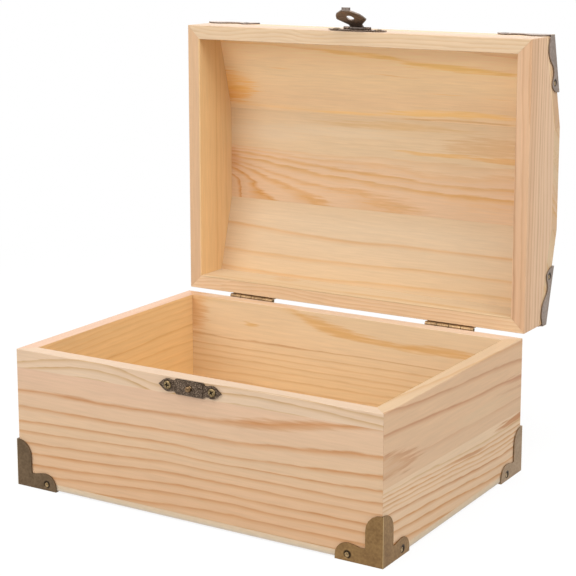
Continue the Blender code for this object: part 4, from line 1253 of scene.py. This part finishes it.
class CHEST_OT_stage(bpy.types.Operator):
    """Sets the pale floor, the soft lamps and the camera"""

    bl_idname = "chest.stage"
    bl_label = "Stage"

    def execute(self, context):
        scene = context.scene
        stage = scene.chest_stage
        scene.view_settings.view_transform = "Standard"
        self.lay_floor()
        self.light_sky(scene, stage)
        self.hang_lamps(stage)
        self.stand_camera(scene, stage)
        return {"FINISHED"}

    def seen(self, tree):
        """One where a ray comes from the camera or from a shiny surface, and nought elsewhere."""
        rays = add(tree, "LightPath").node.outputs
        return add(tree, "Math", rays["Is Camera Ray"], rays["Is Glossy Ray"], operation="MAXIMUM")

    def lay_floor(self):
        """A sheet of matt white paper that shows the chest's shadow and fades to plain white away from it."""
        shape = bmesh.new()
        bmesh.ops.create_grid(shape, x_segments=1, y_segments=1, size=FLOOR_HALF)
        material, tree = blank("white_paper_sweep")
        floor = placed("floor", meshed("floor", shape, [material]))
        floor.location.z = CAD_BOX[0].z - FLOOR_DROP
        seen = self.seen(tree)
        colour = add(tree, "Mix", seen, linear(FLOOR_LIT), linear(FLOOR_SEEN), data_type="RGBA")
        coated(material, {"Base Color": colour, "Roughness": FLOOR_ROUGHNESS})
        away = add(tree, "VectorMath", add(tree, "TexCoord", out="Object"), operation="LENGTH")
        glow = add(tree, "MapRange", away, *FLOOR_GLOW, interpolation_type="SMOOTHSTEP")
        share = add(tree, "Math", seen, glow, operation="MULTIPLY")
        paper, white = tree.nodes["Principled BSDF"].outputs[0], add(tree, "Emission", WHITE, 1)
        surface = add(tree, "MixShader", share, paper, white)
        tree.links.new(surface, tree.nodes["Material Output"].inputs["Surface"])

    def light_sky(self, scene, stage):
        """Even light from all round, which the camera and shiny surfaces see as plain white."""
        scene.world = bpy.data.worlds.new("soft_sky")
        scene.world.use_nodes = True
        tree = scene.world.node_tree
        strength = add(tree, "MapRange", self.seen(tree), 0, 1, stage.sky, 1)
        background = tree.nodes["Background"].inputs
        fill(tree, [(background["Color"], WHITE), (background["Strength"], strength)])

    def hang_lamps(self, stage):
        """Four large square lamps, all aimed at the middle of the base's rim."""
        aim = BASE_MIDDLE + Z * BASE_RIM
        for side, angles in LAMPS.items():
            turn, climb = (radians(angle) for angle in angles)
            lamp = placed(side + "_softbox", bpy.data.lights.new(side + "_softbox", "AREA"))
            lamp.data.energy = getattr(stage, side)
            lamp.data.size = stage.lamp_side
            away = Vector((sin(turn) * cos(climb), -cos(turn) * cos(climb), sin(climb)))
            lamp.location = aim + away * stage.lamp_away
            lamp.rotation_euler = (-away).to_track_quat("-Z", "Y").to_euler()

    def stand_camera(self, scene, stage):
        """The camera, where the photograph's stood."""
        camera = placed("camera", bpy.data.cameras.new("camera"))
        camera.data.lens = stage.lens
        camera.data.shift_y = stage.rise
        camera.data.clip_start = CLIP_START
        camera.location = stage.camera_place
        camera.rotation_euler = (pi / 2 - stage.camera_dip, 0, stage.camera_turn)
        scene.camera = camera


GROUPS = {"chest_sizes": ChestSizes, "chest_metals": ChestMetals, "chest_stage": ChestStage}
STEPS = (
    CHEST_OT_base_boards, CHEST_OT_lid_boards, CHEST_OT_sheet_metal, CHEST_OT_fasteners, CHEST_OT_stage,
)


class CHEST_PT_sidebar(bpy.types.Panel):
    """Lists the chest's steps, sizes, colours and lamps"""

    bl_idname = "CHEST_PT_sidebar"
    bl_label = "Pine Treasure Chest"
    bl_space_type = "VIEW_3D"
    bl_region_type = "UI"
    bl_category = "Chest"

    def draw(self, context):
        for step in STEPS:
            self.layout.operator(step.bl_idname)
        for group in GROUPS:
            settings = getattr(context.scene, group)
            for name in settings.bl_rna.properties.keys():
                if name not in ("rna_type", "name"):
                    self.layout.prop(settings, name)


def register():
    for made in (*GROUPS.values(), *STEPS, CHEST_PT_sidebar):
        bpy.utils.register_class(made)
    for name, group in GROUPS.items():
        setattr(bpy.types.Scene, name, PointerProperty(type=group))


def unregister():
    for name in GROUPS:
        delattr(bpy.types.Scene, name)
    for made in reversed((*GROUPS.values(), *STEPS, CHEST_PT_sidebar)):
        bpy.utils.unregister_class(made)


def main():
    register()
    for step in STEPS:
        group, name = step.bl_idname.split(".")
        getattr(getattr(bpy.ops, group), name)()


if __name__ == "__main__":
    main()
